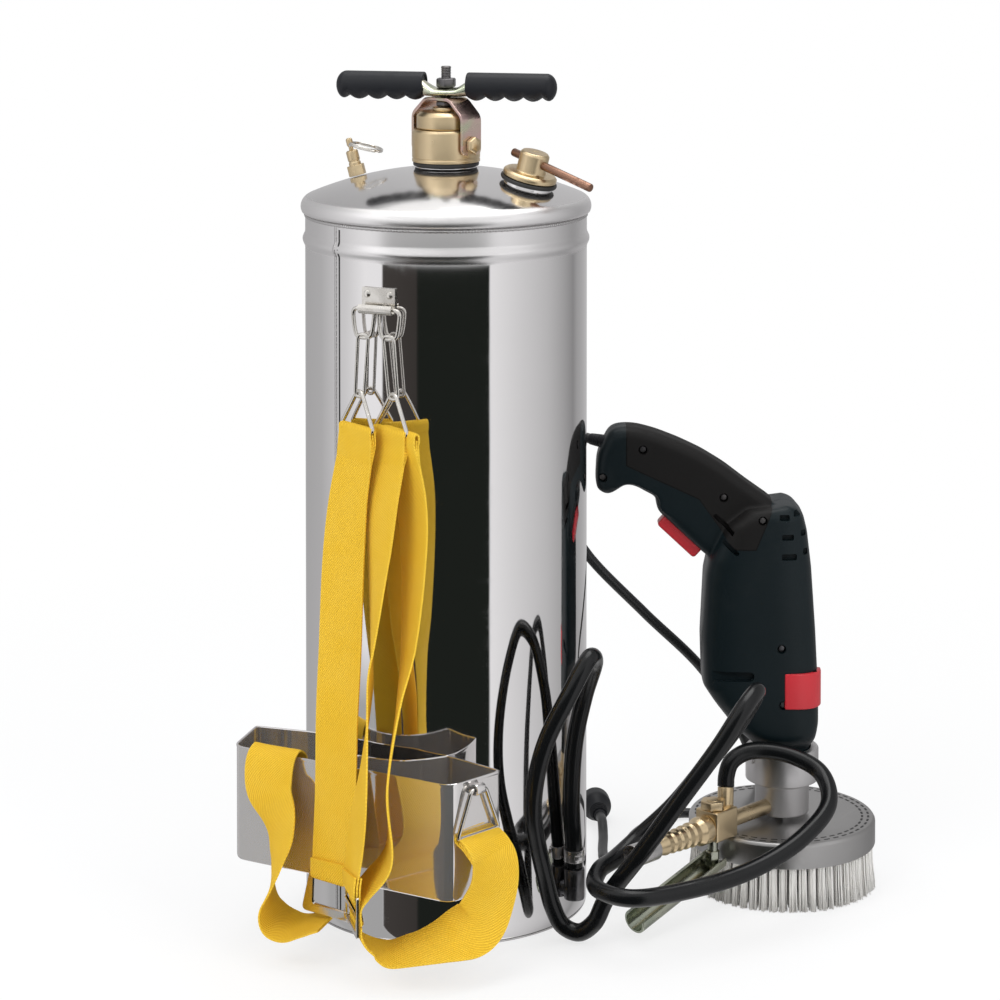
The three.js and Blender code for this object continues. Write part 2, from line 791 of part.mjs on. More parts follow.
// A short tube of rolled sheet along a line through its centre.
function rolledEye(centre, along, length) {
  const half = along.clone().setLength(length / 2);
  return rod(centre.clone().sub(half), centre.clone().add(half), eyeRadius, 10);
}

function eyeBoreRod(centre, along, length) {
  const half = along.clone().setLength(length);
  return rod(centre.clone().sub(half), centre.clone().add(half), eyeBore, 8);
}

function makeHanger(root) {
  const frame = group(root, v(0, 0, 0), hangerTurn);
  const face = shellRadius + seat;
  const plate = block(
    [hangerWidth, hangerPlate, hangerTop - hangerEyeHeight],
    [0, -face - hangerPlate / 2, (hangerTop + hangerEyeHeight) / 2],
  );
  const centre = v(0, -face - eyeRadius - seat, hangerEyeHeight);
  const eye = rolledEye(centre, v(1, 0, 0), hangerEyeLength);
  const bore = eyeBoreRod(centre, v(1, 0, 0), hangerEyeLength);
  const slot = block([14, 20, 10], [0, centre.y, hangerEyeHeight - 5]);
  const shell = disc(shellRadius + seat, hangerEyeHeight - 20, hangerTop + 10, 56);
  piece(frame, "strap_hanger", cut(join(plate, eye), bore, slot, shell), satinSteel);
}

// One chain of wire fittings: a D-ring in the hanger's eye, a snap hook and a triangle that holds the
// webbing. The lean carries the triangle sideways and its turn follows the strap's.
function hookChain(x, lean) {
  const depth = shellRadius + 2 * seat + eyeRadius;
  const out = v(0, -1, 0);
  const upright = (points, drop, slope) =>
    points.map(([px, pz]) => v(x + px, -depth - drop - (hangerEyeHeight - pz) * slope, pz));
  const at = (share) => hangerEyeHeight - share * chainDrop;
  const dRing = upright([[-9.5, at(0)], [9.5, at(0)], [7, at(0.245)], [-7, at(0.245)]], 0, 0);
  const foot = x + lean;
  const [hookTop, hookEnd, apex] = [at(0.217), at(0.739), at(0.694)];
  const hook = upright([[-4.2, hookTop], [4.2, hookTop], [3.6 + lean, hookEnd], [-3.6 + lean, hookEnd]], 0.5, 0.02);
  const way = v(Math.cos(triangleTurn), Math.sin(triangleTurn), 0);
  const corner = (reach, z) => v(foot, -depth - 2 - (apex - z) * 0.14, z).addScaledVector(way, reach);
  const base = webWidth / 2 + 1;
  const triangle = [corner(-3, apex), corner(3, apex), corner(base, hookFoot), corner(-base, hookFoot)];
  const normal = corner(0, hookFoot).sub(corner(0, apex)).cross(way).normalize();
  return join(
    wireLoop(rounded(dRing, 6, 2), out, wireRadius, 4),
    wireLoop(rounded(hook, 3.5, 1), out, wireRadius * 0.85, 4),
    wireLoop(rounded(triangle, 2.8, 1), normal, wireRadius, 4),
  );
}

// The end panel's outer face runs from its front corner to its back corner.
const panelFront = v(trayHalfFront + 0.8, -trayFront + 4.6, 0);
const panelBack = v(trayHalfBack, -trayBack, 0);
const panelWay = panelBack.clone().sub(panelFront).normalize();
const panelOut = v(panelWay.y, -panelWay.x, 0);

function trayOutline() {
  const bulge = [[49, 20.5], [36, 7], [18, 1.5]].map(([x, back]) => [x, back - trayBulge]);
  const right = [
    [trayHalfFront - 5, -trayFront],
    [trayHalfFront - 1, -trayFront + 1.2],
    [panelFront.x, panelFront.y],
    [panelBack.x, panelBack.y],
    [trayHalfBack - 3, -trayBack + 1.5],
    [trayWeldHalf + 8, -trayWeldDepth - 0.8],
    [trayWeldHalf, -trayWeldDepth],
    ...bulge,
  ];
  const left = right.map(([x, y]) => [-x, y]).reverse();
  return [...right, [0, -trayBulge], ...left];
}

// The same outline moved inwards by a sheet's thickness.
function inset(outline, thickness) {
  const count = outline.length;
  return outline.map(([x, y], i) => {
    const [ax, ay] = outline[(i + count - 1) % count];
    const [bx, by] = outline[(i + 1) % count];
    const before = new THREE.Vector2(x - ax, y - ay).normalize();
    const after = new THREE.Vector2(bx - x, by - y).normalize();
    const normal = new THREE.Vector2(-before.y - after.y, before.x + after.x).normalize();
    const miter = thickness / Math.max(0.35, normal.x * -before.y + normal.y * before.x);
    return [x + normal.x * miter, y + normal.y * miter];
  });
}

function makeTray(root) {
  const outline = trayOutline();
  const outer = prism(outline, trayFloor, trayRim);
  const inner = prism(inset(outline, traySheet), trayFloor + traySheet, trayRim + 10);
  const drain = rod(v(-66, -trayFront - 5, 103), v(-66, -trayFront + 5, 103), 4, 14);
  const shell = cut(outer, inner, drain);
  const eyes = [rightEye, leftEye].map(({ centre, along }) => rolledEye(centre, along, 9));
  const bores = [rightEye, leftEye].map(({ centre, along }) => eyeBoreRod(centre, along, 9));
  piece(root, "hip_tray", cut(join(shell, ...eyes), ...bores), mirrorSteel);
}

// The eyes that hold the strap rings: one outside the right end, one inside the front on the left.
const rightEye = {
  centre: panelFront
    .clone()
    .addScaledVector(panelWay, 20)
    .addScaledVector(panelOut, eyeRadius - eyeWeld)
    .setZ(trayRim - trayEyeDrop),
  along: panelWay,
};
const leftEye = {
  centre: v(-56, -trayFront + traySheet + eyeRadius - eyeWeld, trayRim - trayEyeDrop),
  along: v(1, 0, 0),
};

// A wire ring that hangs from a tray eye and holds a strap's end.
function trayRing({ centre, along }) {
  const normal = v(along.y, -along.x, 0);
  const corner = (way, drop) => centre.clone().addScaledVector(along, way).setZ(centre.z - drop);
  const base = webWidth / 2 + 1;
  const points = rounded([corner(-7, 0), corner(7, 0), corner(base, 33), corner(-base, 33)], 2.5, 2);
  return wireLoop(points, normal, wireRadius, 5);
}

// Straps: stations are x, the distance in front of the shell, z, then the turn and pitch of the width in
// degrees. Each end stops a seat short of the bar that holds it, and lies in that bar's own plane.
const strapTop = hookFoot - wireRadius - seat;
const ringReach = -ringPlace.y - shellRadius;
const sliderReach = -sliderPlace.y - shellRadius;
const rightFoldX = sliderPlace.x + 4.2; // the back strap and the loop lie on the adjuster's right face
const rightFoldReach = sliderReach + 0.5;
const rightFoldFoot = sliderTop - 21;
const along = (share) => ringTop + share * (strapTop - ringTop);
const strapLeft = [
  [-4.9, 11.3, strapTop, -22, 0],
  [-4.9, 11.3, strapTop - 6, -22, 0],
  [-10, 16, along(0.8344), -12, 0],
  [-11, 21, along(0.6958), -6, 0],
  [-7, 32, along(0.4912), -6, 0],
  [-2, 44, along(0.3401), -8, 0],
  [2, 52, along(0.1637), -9, 0],
  [ringPlace.x, ringReach, ringTop + 7, -8, 0],
  [ringPlace.x, ringReach, ringTop + seat, -8, 0],
];
const strapRightFront = [
  [23.9, 9.3, strapTop, -22, 0],
  [23.9, 9.3, strapTop - 6, -22, 0],
  [23, 20, along(0.847), -24, 0],
  [23, 26, along(0.7084), -32, 0],
  [24, 36, along(0.5069), -62, 0],
  [28, 47, along(0.3967), -70, 0],
  [36.5, 70, along(0.2236), -44, 0],
  [34, 75, along(0.0945), -40, 0],
  [sliderPlace.x, sliderReach, sliderTop + 7, -46, 0],
  [sliderPlace.x, sliderReach, sliderTop + seat, -46, 0],
];
const strapRightBack = [
  [33.2, 10.5, strapTop, -22, 0],
  [33.2, 10.5, strapTop - 6, -22, 0],
  [42, 10, along(0.8501), -24, 0],
  [47, 15, along(0.7116), -30, 0],
  [50, 28, along(0.5069), -48, 0],
  [52, 44, along(0.3967), -60, 0],
  [56, 66, along(0.2298), -62, 0],
  [60, 71, along(0.0787), -50, 0],
  [44, 75.2, sliderTop + 1, -46, 0],
  [rightFoldX, rightFoldReach, sliderTop - 9, -46, 0],
  [rightFoldX, rightFoldReach, rightFoldFoot, -46, 0],
];
const loopLeft = [
  [-56, 35.2, trayRim - 41.5, 0, 0],
  [-56, 32.6, trayRim - 20, 0, 0],
  [-56, 33.5, trayRim - 3, 2, 0],
  [-56, 42, trayRim + 3.8, 4, 0],
  [-57, 50, trayRim - 2, 6, 0],
  [-55.5, 55, trayRim - 23, 8, 0],
  [-47, 55.6, trayRim - 41, -16, 0],
  [-43, 57.9, 88, -32, 0],
  [-43.4, 62.9, 72, -46, 0],
  [-45.6, 66.5, 53, -60, 0],
  [-45.5, 68.4, 39, -78, 0],
  [-39.4, 67.5, 28.5, -94, -6],
  [-28.3, 64.5, 25, -98, -12],
  [-14.4, 60.5, 28, -98, -12],
  [-1, 58, 32.2, -98, -6],
];
const loopRight = [
  [trayHalfBack - 2.4, 21, trayRim - 42.4, 74.5, 0],
  [trayHalfBack + 3, 22.5, trayRim - 45.2, 74.5, 0],
  [trayHalfBack + 10.5, 22, 90, 68, 0],
  [trayHalfBack + 12, 22.5, 74, 62, -4],
  [trayHalfBack + 9, 26.5, 58, 54, -8],
  [trayHalfBack + 3.5, 34.3, 43, 36, -14],
  [100, 45, 36, 6, -14],
  [86, 55.3, 30.5, -34, -11],
  [71, 63, 26, -50, -9],
  [57.5, 67, 23.5, -54, -8],
  [47.8, 71.2, 26.5, -50, 0],
  [41.2, 77.4, 33.5, -46, 0],
  [rightFoldX, rightFoldReach, rightFoldFoot - 8, -46, 0],
  [rightFoldX, rightFoldReach, rightFoldFoot - 2, -46, 0],
];

function makeStraps(root) {
  piece(root, "strap_left", strap(strapLeft, 20), webbing);
  piece(root, "strap_right_front", strap(strapRightFront, 24), webbing);
  piece(root, "strap_right_back", strap(strapRightBack, 24), webbing);
  piece(root, "loop_left", strap(loopLeft, 28), webbing);
  piece(root, "loop_right", strap(loopRight, 28), webbing);
  const frame = group(root, v(0, 0, 0), hangerTurn);
  piece(frame, "hook_chain_left", hookChain(-10.7, -2.6), wireSteel);
  piece(frame, "hook_chain_right", hookChain(10.7, 4.8), wireSteel);
  piece(root, "tray_ring_right", trayRing(rightEye), wireSteel);
  piece(root, "tray_ring_left", trayRing(leftEye), wireSteel);
  makeStrapRings(root);
}

function makeStrapRings(root) {
  const outer = [[-22, ringTop], [22, ringTop], [31, ringTop - 34], [-31, ringTop - 34]];
  const inner = [[-19, ringTop - 6], [19, ringTop - 6], [24, ringTop - 28], [-24, ringTop - 28]];
  const frame = group(root, ringPlace, ringTurn);
  piece(frame, "strap_ring", cut(slab(outer, ringPlate), slab(inner, 10)), mirrorSteel);
  const slider = group(root, sliderPlace, sliderTurn);
  const half = webWidth / 2 + 4;
  const foot = sliderTop - sliderHeight;
  const window = (sliderHeight - 3 * sliderBar) / 2;
  const hole = (z) => block([2 * half - 2 * sliderBar, 10, window], [0, 0, z]);
  const plate = slab([[-half, sliderTop], [half, sliderTop], [half, foot], [-half, foot]], ringPlate);
  const holes = [sliderTop - sliderBar - window / 2, foot + sliderBar + window / 2].map(hole);
  piece(slider, "strap_adjuster", cut(plate, ...holes), wireSteel);
}

function makeOutlet(root) {
  const way = v(Math.cos(outletTurn), Math.sin(outletTurn), 0);
  const at = (reach, z) => way.clone().multiplyScalar(reach).setZ(z);
  const column = shellRadius + outletBody;
  const elbow = join(
    rod(at(shellRadius - 6, outletHeight), at(column, outletHeight), outletSpigot, 12),
    rod(at(column, outletHeight - outletBody), at(column, outletHeight + outletRise), outletBody, 12),
    rod(at(shellRadius + 2.2, outletHeight), at(column, outletHeight), outletBody, 12),
  );
  const shell = disc(shellRadius + seat, 0, 90, 56);
  const stub = rod(at(shellRadius - 6, outletHeight), at(shellRadius + 2, outletHeight), outletSpigot, 12);
  piece(root, "outlet_elbow", join(cut(elbow, shell), stub), blackSteel);
}

// Routes: x counts from the shell's side, y from its axis and z from the floor.
const pastShell = (route) => route.map(([x, y, z]) => [shellRadius + x, y, z]);
const hoseRoute = pastShell([
  [7.8, -6.2, 44.5],
  [8, -7, 57],
  [8.5, -12, 97],
  [13, -15, 144],
  [23, -18, 182],
  [38, -30, 213],
  [44, -50, 221],
  [37, -68, 197],
  [24, -78, 165],
  [16, -80, 136],
  [11, -76, 109],
  [9, -66, 81],
  [9, -54, 51],
  [11, -46, 27],
  [17, -41, 12],
  [29, -38, 8],
  [41, -36, 17],
  [51, -35, 37],
  [79, -34, 75],
  [108, -27, 118],
  [133, -12, 158],
  [147, 4, 187],
  [147, 24, 193],
  [131, 38, 170],
  [98, 42, 126],
  [71, 34, 90],
  [50, 18, 67],
  [43, -7, 57],
  [42, -30, 55],
  [53, -54, 51],
  [80, -56, 49],
  [112, -22, 50],
  [144, 26, 57],
  [165, 70, 72],
  [170, 106, 89],
  [154, 126, 104],
  [132, 126, 113],
  [112, 121, 116],
  [97, 112, 115],
  [88, 103.5, 108],
  [85.6, 100, 98],
  [86, 98, 90],
]);
const cordRoute = pastShell([
  [-32.2, 94.8, 352],
  [-41, 97.2, 352],
  [-52, 104.5, 346],
  [-63, 114, 326],
  [-69, 122, 300],
  [-66, 124, 272],
  [-49, 121, 251],
  [-11, 147, 203],
  [28, 174, 156],
  [47, 207, 100],
  [57, 231, 45],
  [62, 252, 10],
  [42, 273, 4.5],
  [10, 272, 4.5],
  [-13, 262, 4.5],
  [-33, 250, 4.5],
  [-39, 224, 4.5],
  [-40, 190, 4.5],
  [-34, 167, 4.5],
  [-20, 150, 4.5],
  [-13, 133, 4.5],
  [-19, 119, 4.5],
  [-32, 120, 4.5],
  [-43, 136, 4.5],
  [-57, 163, 7],
  [-67, 180, 12.8],
  [-74, 190, 12.8],
]);

function makeHoses(root) {
  piece(root, "hose", tube(hoseRoute, hoseRadius, hoseSides, hoseSteps), hosePlastic);
  piece(root, "power_cord", tube(cordRoute, cordRadius, cordSides, cordSteps), blackRubber);
  makePlug(root);
}

function makePlug(root) {
  const end = v(...cordRoute.at(-1));
  const before = v(...cordRoute.at(-2));
  const frame = group(root, end);
  const way = end.clone().sub(before).setZ(0).normalize();
  const turn = new THREE.Quaternion().setFromUnitVectors(v(0, 0, 1), way);
  frame.quaternion.copy(turn);
  const body = turned(
    [
      [0, seat],
      [cordRadius, seat],
      [cordRadius + 2.5, 12],
      [9, 18],
      [12.4, 24],
      [12.4, 40],
      [0, 40],
    ],
    12,
  );
  const pin = (x) => rod(v(x, 0, 38), v(x, 0, 58), 2.4, 10);
  piece(frame, "plug", join(body, pin(-8), pin(8)), blackRubber);
}

const bodyOutline = [
  [-26, 99],
  [-26, 109],
  [-41, 127],
  [-56, 147],
  [-64.5, 161],
  [-65.5, 198],
  [-63, 249],
  [-60, 263],
  [-46, 290],
  [-30, 302],
  [-6, 305],
  [1, 306.5],
  [9, 304],
  [15, 297],
  [18, 285],
  [21.5, 256],
  [25, 205],
  [27.5, 155],
  [27.5, 132],
  [25, 117],
  [24, 109],
  [24, 99],
];
const handleOutline = [
  [-60, 262],
  [-101, 300],
  [-101, 310],
  [-109, 314],
  [-118, 319],
  [-126, 320],
  [-133, 315],
  [-138, 312.5],
  [-143, 313],
  [-148.5, 317],
  [-149, 325],
  [-148, 343],
  [-142, 356.5],
  [-138, 363],
  [-131, 366],
  [-118, 366],
  [-101, 361.5],
  [-83, 354.5],
  [-65, 346],
  [-47, 335],
  [-30, 322],
  [-8, 306.5],
  [0, 290],
  [-10, 250],
];

// The trigger's frame: x runs up along the handle's underside, z points out of it.
const triggerPlace = v(-80.5, 0, 281);
const triggerLean = Math.atan2(41, 38) + Math.PI / 2;
const underHandle = (shape) =>
  shape.rotate([0, (-triggerLean / degree) + 180, 0]).translate(triggerPlace.toArray());

// The selector wraps the body's front corner.
const bossOutline = [
  [-1, -bodyHalf - 1.2],
  [13, -bodyHalf - 1.2],
  [21, -bodyHalf + 1.4],
  [26, -bodyHalf + 6.5],
  [28.9, -bodyHalf + 13],
  [28.9, -bodyHalf + 21],
  [24, -bodyHalf + 21],
  [24, -bodyHalf + 7],
  [-1, -bodyHalf + 7],
];

// The power cord leaves the handle's end at a slant, away from the tank.
const cordInside = v(-139, -2, 352);
const cordExit = v(-152, 11, 352);

function housingShape() {
  const nose = turned(
    [
      [0, noseFoot],
      [noseRadius, noseFoot],
      [noseRadius, cupTop + 2],
      [42, 127],
      [60, 147],
      [78, 165],
      [92, 200],
      [92, 320],
      [0, 320],
    ],
    16,
  );
  const body = slab(bodyOutline, 2 * bodyHalf, housingRound).intersect(nose);
  const handle = slab(handleOutline, 2 * handleHalf, housingRound * 0.75);
  const bore = (x, radius, foot, top, sides = 12) =>
    rod(v(x, 0, foot), v(x, 0, top), radius, sides);
  const inside = [
    bore(motorAxis, statorRadius + 2 * seat, motorFoot - 12, motorFoot + motorHeight + 26, 20),
    bore(0, gearRadius + 1.2, gearFoot - 3, gearFoot + gearHeight + 3),
    bore(motorAxis, 8, gearFoot - 3, motorFoot),
    bore(0, outputRadius + slide, noseFoot - 5, gearFoot),
    underHandle(block([46, triggerWidth + 1.2, 44], [1, 0, 6])),
    rod(cordInside.clone().lerp(cordExit, -0.05), cordExit, 5.4 + slide, 14),
  ];
  const slotDeep = -bodyHalf + 7.4;
  const slotSide = -bodyHalf + 21.4;
  const slotOutline = [[-1.4, -50], [40, -50], [40, slotSide], [23.6, slotSide], [23.6, slotDeep], [-1.4, slotDeep]];
  const slot = prism(slotOutline, 141, 175.4);
  return cut(join(body, handle), ...inside, slot);
}

function makeDrill(tool) {
  const whole = housingShape();
  const half = (side) =>
    whole.intersect(block([400, 100, 500], [0, side * (50 + seat / 2), 250]));
  piece(tool, "housing_front", half(-1), housingPlastic);
  piece(tool, "housing_rear", half(1), housingPlastic);
  piece(tool, "mode_selector", prism(bossOutline, 147, 175), redPlastic);
  const finger = [[-19, -9], [21, -9], [21, 7.5], [16, 7], [8, 4.5], [0, 5.5], [-10, 4], [-19, 2]];
  piece(tool, "trigger", underHandle(slab(finger, triggerWidth)), redPlastic);
  makeMotor(tool);
  piece(tool, "strain_relief", rod(cordInside, cordExit, 5.4, 14, 4.4), blackRubber);
}

function makeMotor(tool) {
  const place = group(tool, v(motorAxis, 0, 0));
  const core = ring(armatureRadius + slide, statorRadius, motorFoot, motorFoot + motorHeight, 20);
  piece(place, "motor_stator", core, copperWinding);
  const armature = turned(
    [
      [0, gearFoot],
      [pinionRadius, gearFoot],
      [pinionRadius, gearFoot + gearHeight],
      [3, gearFoot + gearHeight],
      [3, motorFoot - 8],
      [statorRadius - 4, motorFoot - 8],
      [statorRadius - 4, motorFoot - 3],
      [3, motorFoot - 3],
      [3, motorFoot + 4],
      [armatureRadius, motorFoot + 4],
      [armatureRadius, motorFoot + motorHeight - 4],
      [9, motorFoot + motorHeight - 4],
      [9, motorFoot + motorHeight + 14],
      [3, motorFoot + motorHeight + 14],
      [3, motorFoot + motorHeight + 22],
      [0, motorFoot + motorHeight + 22],
    ],
    8,
  );
  piece(place, "motor_armature", armature, copperWinding);
  const output = turned(
    [
      [0, 85],
      [outputRadius, 85],
      [outputRadius, gearFoot],
      [gearRadius, gearFoot],
      [gearRadius, gearFoot + gearHeight],
      [0, gearFoot + gearHeight],
    ],
    20,
  );
  piece(tool, "output_shaft", output, satinSteel);
}

const alongWater = (reach, side = 0, z = waterHeight) => v(reach, side, z);

function makeBrush(tool) {
  const cup = turned(
    [
      [stemRadius - 8.5, stemFoot],
      [stemRadius, stemFoot],
      [stemRadius, cupFoot - 3],
      [cupRadius, cupFoot],
      [cupRadius, cupTop],
      [noseRadius + slide, cupTop],
      [noseRadius + slide, noseFoot - slide],
      [stemRadius - 4, noseFoot - slide],
      [stemRadius - 4, 74],
      [stemRadius - 8.5, 74],
    ],
    16,
  );
  const water = group(tool, v(0, 0, 0), waterAxis);
  const inletHole = rod(alongWater(10), alongWater(30), 6 + seat, 16);
  piece(water, "brush_collar", cut(cup, inletHole), castAluminium);
  const spindle = turned(
    [
      [0, brushTop - 12],
      [spindleRadius, brushTop - 12],
      [spindleRadius, 76],
      [12, 76],
      [12, 96],
      [outputRadius + seat, 96],
      [outputRadius + seat, 84.5],
      [0, 84.5],
    ],
    16,
  );
  piece(tool, "brush_spindle", spindle, satinSteel);
  const inner = brushRadius - brushSheet;
  const hub = spindleRadius + seat;
  const cover = turned(
    [
      [hub, brushTop - 2.4],
      [inner, brushTop - 2.4],
      [inner, brushTop - brushRim],
      [brushRadius, brushTop - brushRim],
      [brushRadius, brushTop - 1.5],
      [brushRadius - 1.5, brushTop],
      [hub, brushTop],
    ],
    brushSides,
  );
  piece(tool, "brush_cover", cover, castAluminium);
  makeBristles(tool);
}

// Tufts in rings under the backing, one more a ring for each step outwards, joined in one solid.
function makeBristles(tool) {
  const foot = brushTop - brushRim;
  const hub = spindleRadius + seat;
  const outer = brushRadius - brushSheet - seat;
  const backing = ring(hub, outer, foot, brushTop - 2.4 - seat, brushSides);
  const positions = [];
  for (let r = 0; r < tuftRings; r++) {
    const radius = outer - tuftRadius - 0.8 - r * tuftPitch;
    const tufts = Math.floor((2 * Math.PI * radius) / tuftSpacing);
    for (let i = 0; i < tufts; i++) {
      const angle = (2 * Math.PI * (i + (r % 2) / 2)) / tufts;
      const centre = v(radius * Math.cos(angle), radius * Math.sin(angle), (foot + 1) / 2);
      const tuft = new THREE.CylinderGeometry(tuftRadius, tuftRadius * 1.3, foot + 1, 3);
      tuft.rotateX(Math.PI / 2).rotateZ(angle).translate(...centre.toArray());
      positions.push(...tuft.toNonIndexed().getAttribute("position").array);
    }
  }
  const strands = new THREE.BufferGeometry();
  strands.setAttribute("position", new THREE.Float32BufferAttribute(positions, 3));
  piece(tool, "bristles", join(backing, solid(strands)), bristleNylon);
}

function makeValve(tool) {
  const water = group(tool, v(0, 0, 0), waterAxis);
  const centre = (valveNear + valveFar) / 2;
  const body = block([valveFar - valveNear, 2 * valveHalf, valveTop - valveBottom], [centre, 0, (valveTop + valveBottom) / 2]);
  const spigot = rod(alongWater(15), alongWater(centre), 6, 16);
  const tail = rod(v(valveNear + 3, 0, valveTop - 12), tailTip(), hoseRadius * 0.95, 14);
  const stemHole = rod(v(tapPlace, 0, valveBottom - 1), v(tapPlace, 0, valveBottom + 12), tapStem + seat, 14);
  const nippleHole = rod(alongWater(valveFar - 2.9), alongWater(valveFar + 2), 6 + seat, 14);
  piece(water, "valve_block", cut(join(body, spigot, tail), stemHole, nippleHole), brass);
  const cap = group(water, v(tapPlace, 0, 0));
  piece(cap, "valve_cap", hex(17, valveTop + seat, valveTop + seat + 6.5), brass);
  makeNipple(water);
  makeLever(group(water, v(tapPlace, 0, 0)));
}

// The hose's end in the valve's frame; the tail's face stops short of it by the seat gap.
function tailTip() {
  const end = v(...hoseRoute.at(-1));
  const before = v(...hoseRoute.at(-2));
  const tip = end.clone().addScaledVector(end.clone().sub(before).normalize(), seat);
  return tip.sub(toolPlace).applyAxisAngle(v(0, 0, 1), -toolTurn - waterAxis);
}

function makeNipple(water) {
  const start = valveFar + seat;
  const tenon = valveFar - 2.6;
  const profile = [[0, tenon], [6, tenon], [6, start], [11, start], [11, start + 10], [9.6, start + 12]];
  for (let i = 0; i < 5; i++) {
    const foot = start + 14 + i * 7.6;
    const radius = 9.6 - i * 0.4;
    profile.push([radius - 1, foot], [radius, foot + 5.6]);
  }
  profile.push([6, nippleEnd - 12], [6, nippleEnd], [0, nippleEnd]);
  const lie = new THREE.Matrix4()
    .makeTranslation(0, 0, waterHeight)
    .multiply(new THREE.Matrix4().makeRotationY(Math.PI / 2));
  piece(water, "barb_nipple", turned(profile, 10, lie), brass);
  const sleeve = turned(
    [
      [6 + seat, sleeveStart + 6],
      [sleeveRadius, sleeveStart + 6],
      [sleeveRadius, sleeveEnd],
      [sleeveRadius - 1, sleeveEnd],
      [sleeveRadius - 1, sleeveStart + 9],
      [6 + seat, sleeveStart + 9],
    ],
    14,
    lie,
  );
  piece(water, "hose_sleeve", sleeve, satinSteel);
}

// The tap's stem and its handle, a slit steel tube that slopes down from the stem.
function makeLever(frame) {
  const open = 50 * degree;
  const arc = (radius, count) =>
    Array.from({ length: count + 1 }, (_, i) => {
      const angle = -Math.PI / 2 + open + ((2 * Math.PI - 2 * open) * i) / count;
      return [radius * Math.cos(angle), radius * Math.sin(angle)];
    });
  const outline = [...arc(leverRadius, 10), ...arc(leverRadius - leverWall, 10).reverse()];
  const shape = new THREE.Shape(outline.map(([x, y]) => new THREE.Vector2(x, y)));
  const geometry = new THREE.ExtrudeGeometry(shape, { depth: leverLength, bevelEnabled: false });
  const lie = new THREE.Matrix4().makeRotationZ(Math.PI / 2).premultiply(new THREE.Matrix4().makeRotationY(Math.PI / 2));
  const slope = new THREE.Matrix4().makeRotationY(leverSlope);
  const place = new THREE.Matrix4().makeTranslation(-leverHeel, 0, 39);
  const channel = solid(geometry, place.multiply(slope).multiply(lie));
  const stem = rod(v(0, 0, 36), v(0, 0, valveBottom + 11), tapStem, 14);
  const head = rod(v(0, 0, 34), v(0, 0, 45.5), tapStem + 2, 4);
  piece(frame, "tap_lever", join(channel, stem, head), zincSteel);
}

function makeTool(root) {
  const tool = group(root, toolPlace, toolTurn);
  makeDrill(tool);
  makeBrush(tool);
  makeValve(tool);
}

const sprayer = new THREE.Group();
makeShell(sprayer);
makeBase(sprayer);
makeHead(sprayer);
makePump(sprayer);
makeStroke(sprayer);
makeFiller(sprayer);
makeRelief(sprayer);
makeHanger(sprayer);
makeTray(sprayer);
makeStraps(sprayer);
makeOutlet(sprayer);
makeHoses(sprayer);
makeTool(sprayer);

export default sprayer;
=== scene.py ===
import json
import math

import bmesh
import bpy
import numpy as np
from mathutils import Matrix, Vector
from mathutils.bvhtree import BVHTree


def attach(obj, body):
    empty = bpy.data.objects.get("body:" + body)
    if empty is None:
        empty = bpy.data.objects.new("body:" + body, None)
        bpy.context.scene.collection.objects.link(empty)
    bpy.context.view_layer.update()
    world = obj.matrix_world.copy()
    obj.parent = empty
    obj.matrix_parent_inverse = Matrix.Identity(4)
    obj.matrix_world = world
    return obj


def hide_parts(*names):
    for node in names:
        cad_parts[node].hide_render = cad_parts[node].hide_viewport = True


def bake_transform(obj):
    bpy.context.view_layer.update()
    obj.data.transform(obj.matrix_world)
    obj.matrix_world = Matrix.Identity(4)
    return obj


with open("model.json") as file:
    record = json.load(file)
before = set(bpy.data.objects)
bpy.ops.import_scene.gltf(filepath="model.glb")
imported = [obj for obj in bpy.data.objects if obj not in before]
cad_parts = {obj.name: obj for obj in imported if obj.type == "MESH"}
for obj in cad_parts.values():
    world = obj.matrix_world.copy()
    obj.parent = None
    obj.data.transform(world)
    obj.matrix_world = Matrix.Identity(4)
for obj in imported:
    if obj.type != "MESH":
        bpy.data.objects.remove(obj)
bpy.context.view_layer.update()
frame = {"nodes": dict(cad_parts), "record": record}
pi = math.pi
print("frame loaded")


def addCamera():
    # The photograph's camera: a long lens 2.3 m away, a little above the pump, shifted down to the tank.
    view = {"turn": 30, "pitch": 1.88, "distance": 2.286, "aside": 0.0421, "height": 0.83,
            "focal": 2935, "centreY": -63.8, "picture": 1000, "sensor": 36}
    turn, pitch = math.radians(view["turn"]), math.radians(view["pitch"])
    right = Vector((math.cos(turn), math.sin(turn), 0))
    away = Vector((-math.sin(turn), math.cos(turn), 0))
    ahead = away * math.cos(pitch) - Vector((0, 0, math.sin(pitch)))
    up = right.cross(ahead)
    camera = bpy.data.objects.new("camera", bpy.data.cameras.new("camera"))
    bpy.context.collection.objects.link(camera)
    place = Matrix((right, up, -ahead)).transposed().to_4x4()
    place.translation = -away * view["distance"] + right * view["aside"] + Vector((0, 0, view["height"]))
    camera.matrix_world = place
    camera.data.sensor_width = view["sensor"]
    camera.data.lens = view["focal"] * view["sensor"] / view["picture"]
    camera.data.shift_y = (view["centreY"] - view["picture"] / 2) / view["picture"]
    camera.data.clip_end = 50
    bpy.context.scene.camera = camera


addCamera()
bpy.context.scene.view_settings.view_transform = "Standard"


def addNode(tree, kind, inputs=None, **settings):
    node = tree.nodes.new(kind)
    for key, value in settings.items():
        setattr(node, key, value)
    for key, value in (inputs or {}).items():
        if isinstance(value, bpy.types.NodeSocket):
            tree.links.new(value, node.inputs[key])
        else:
            node.inputs[key].default_value = value
    return node


def sums(tree, operation, first, second, clamp=False):
    return addNode(tree, "ShaderNodeMath", {0: first, 1: second}, operation=operation,
                   use_clamp=clamp).outputs[0]


def plus(tree, first, second):
    return sums(tree, "ADD", first, second)


def times(tree, first, second):
    return sums(tree, "MULTIPLY", first, second)


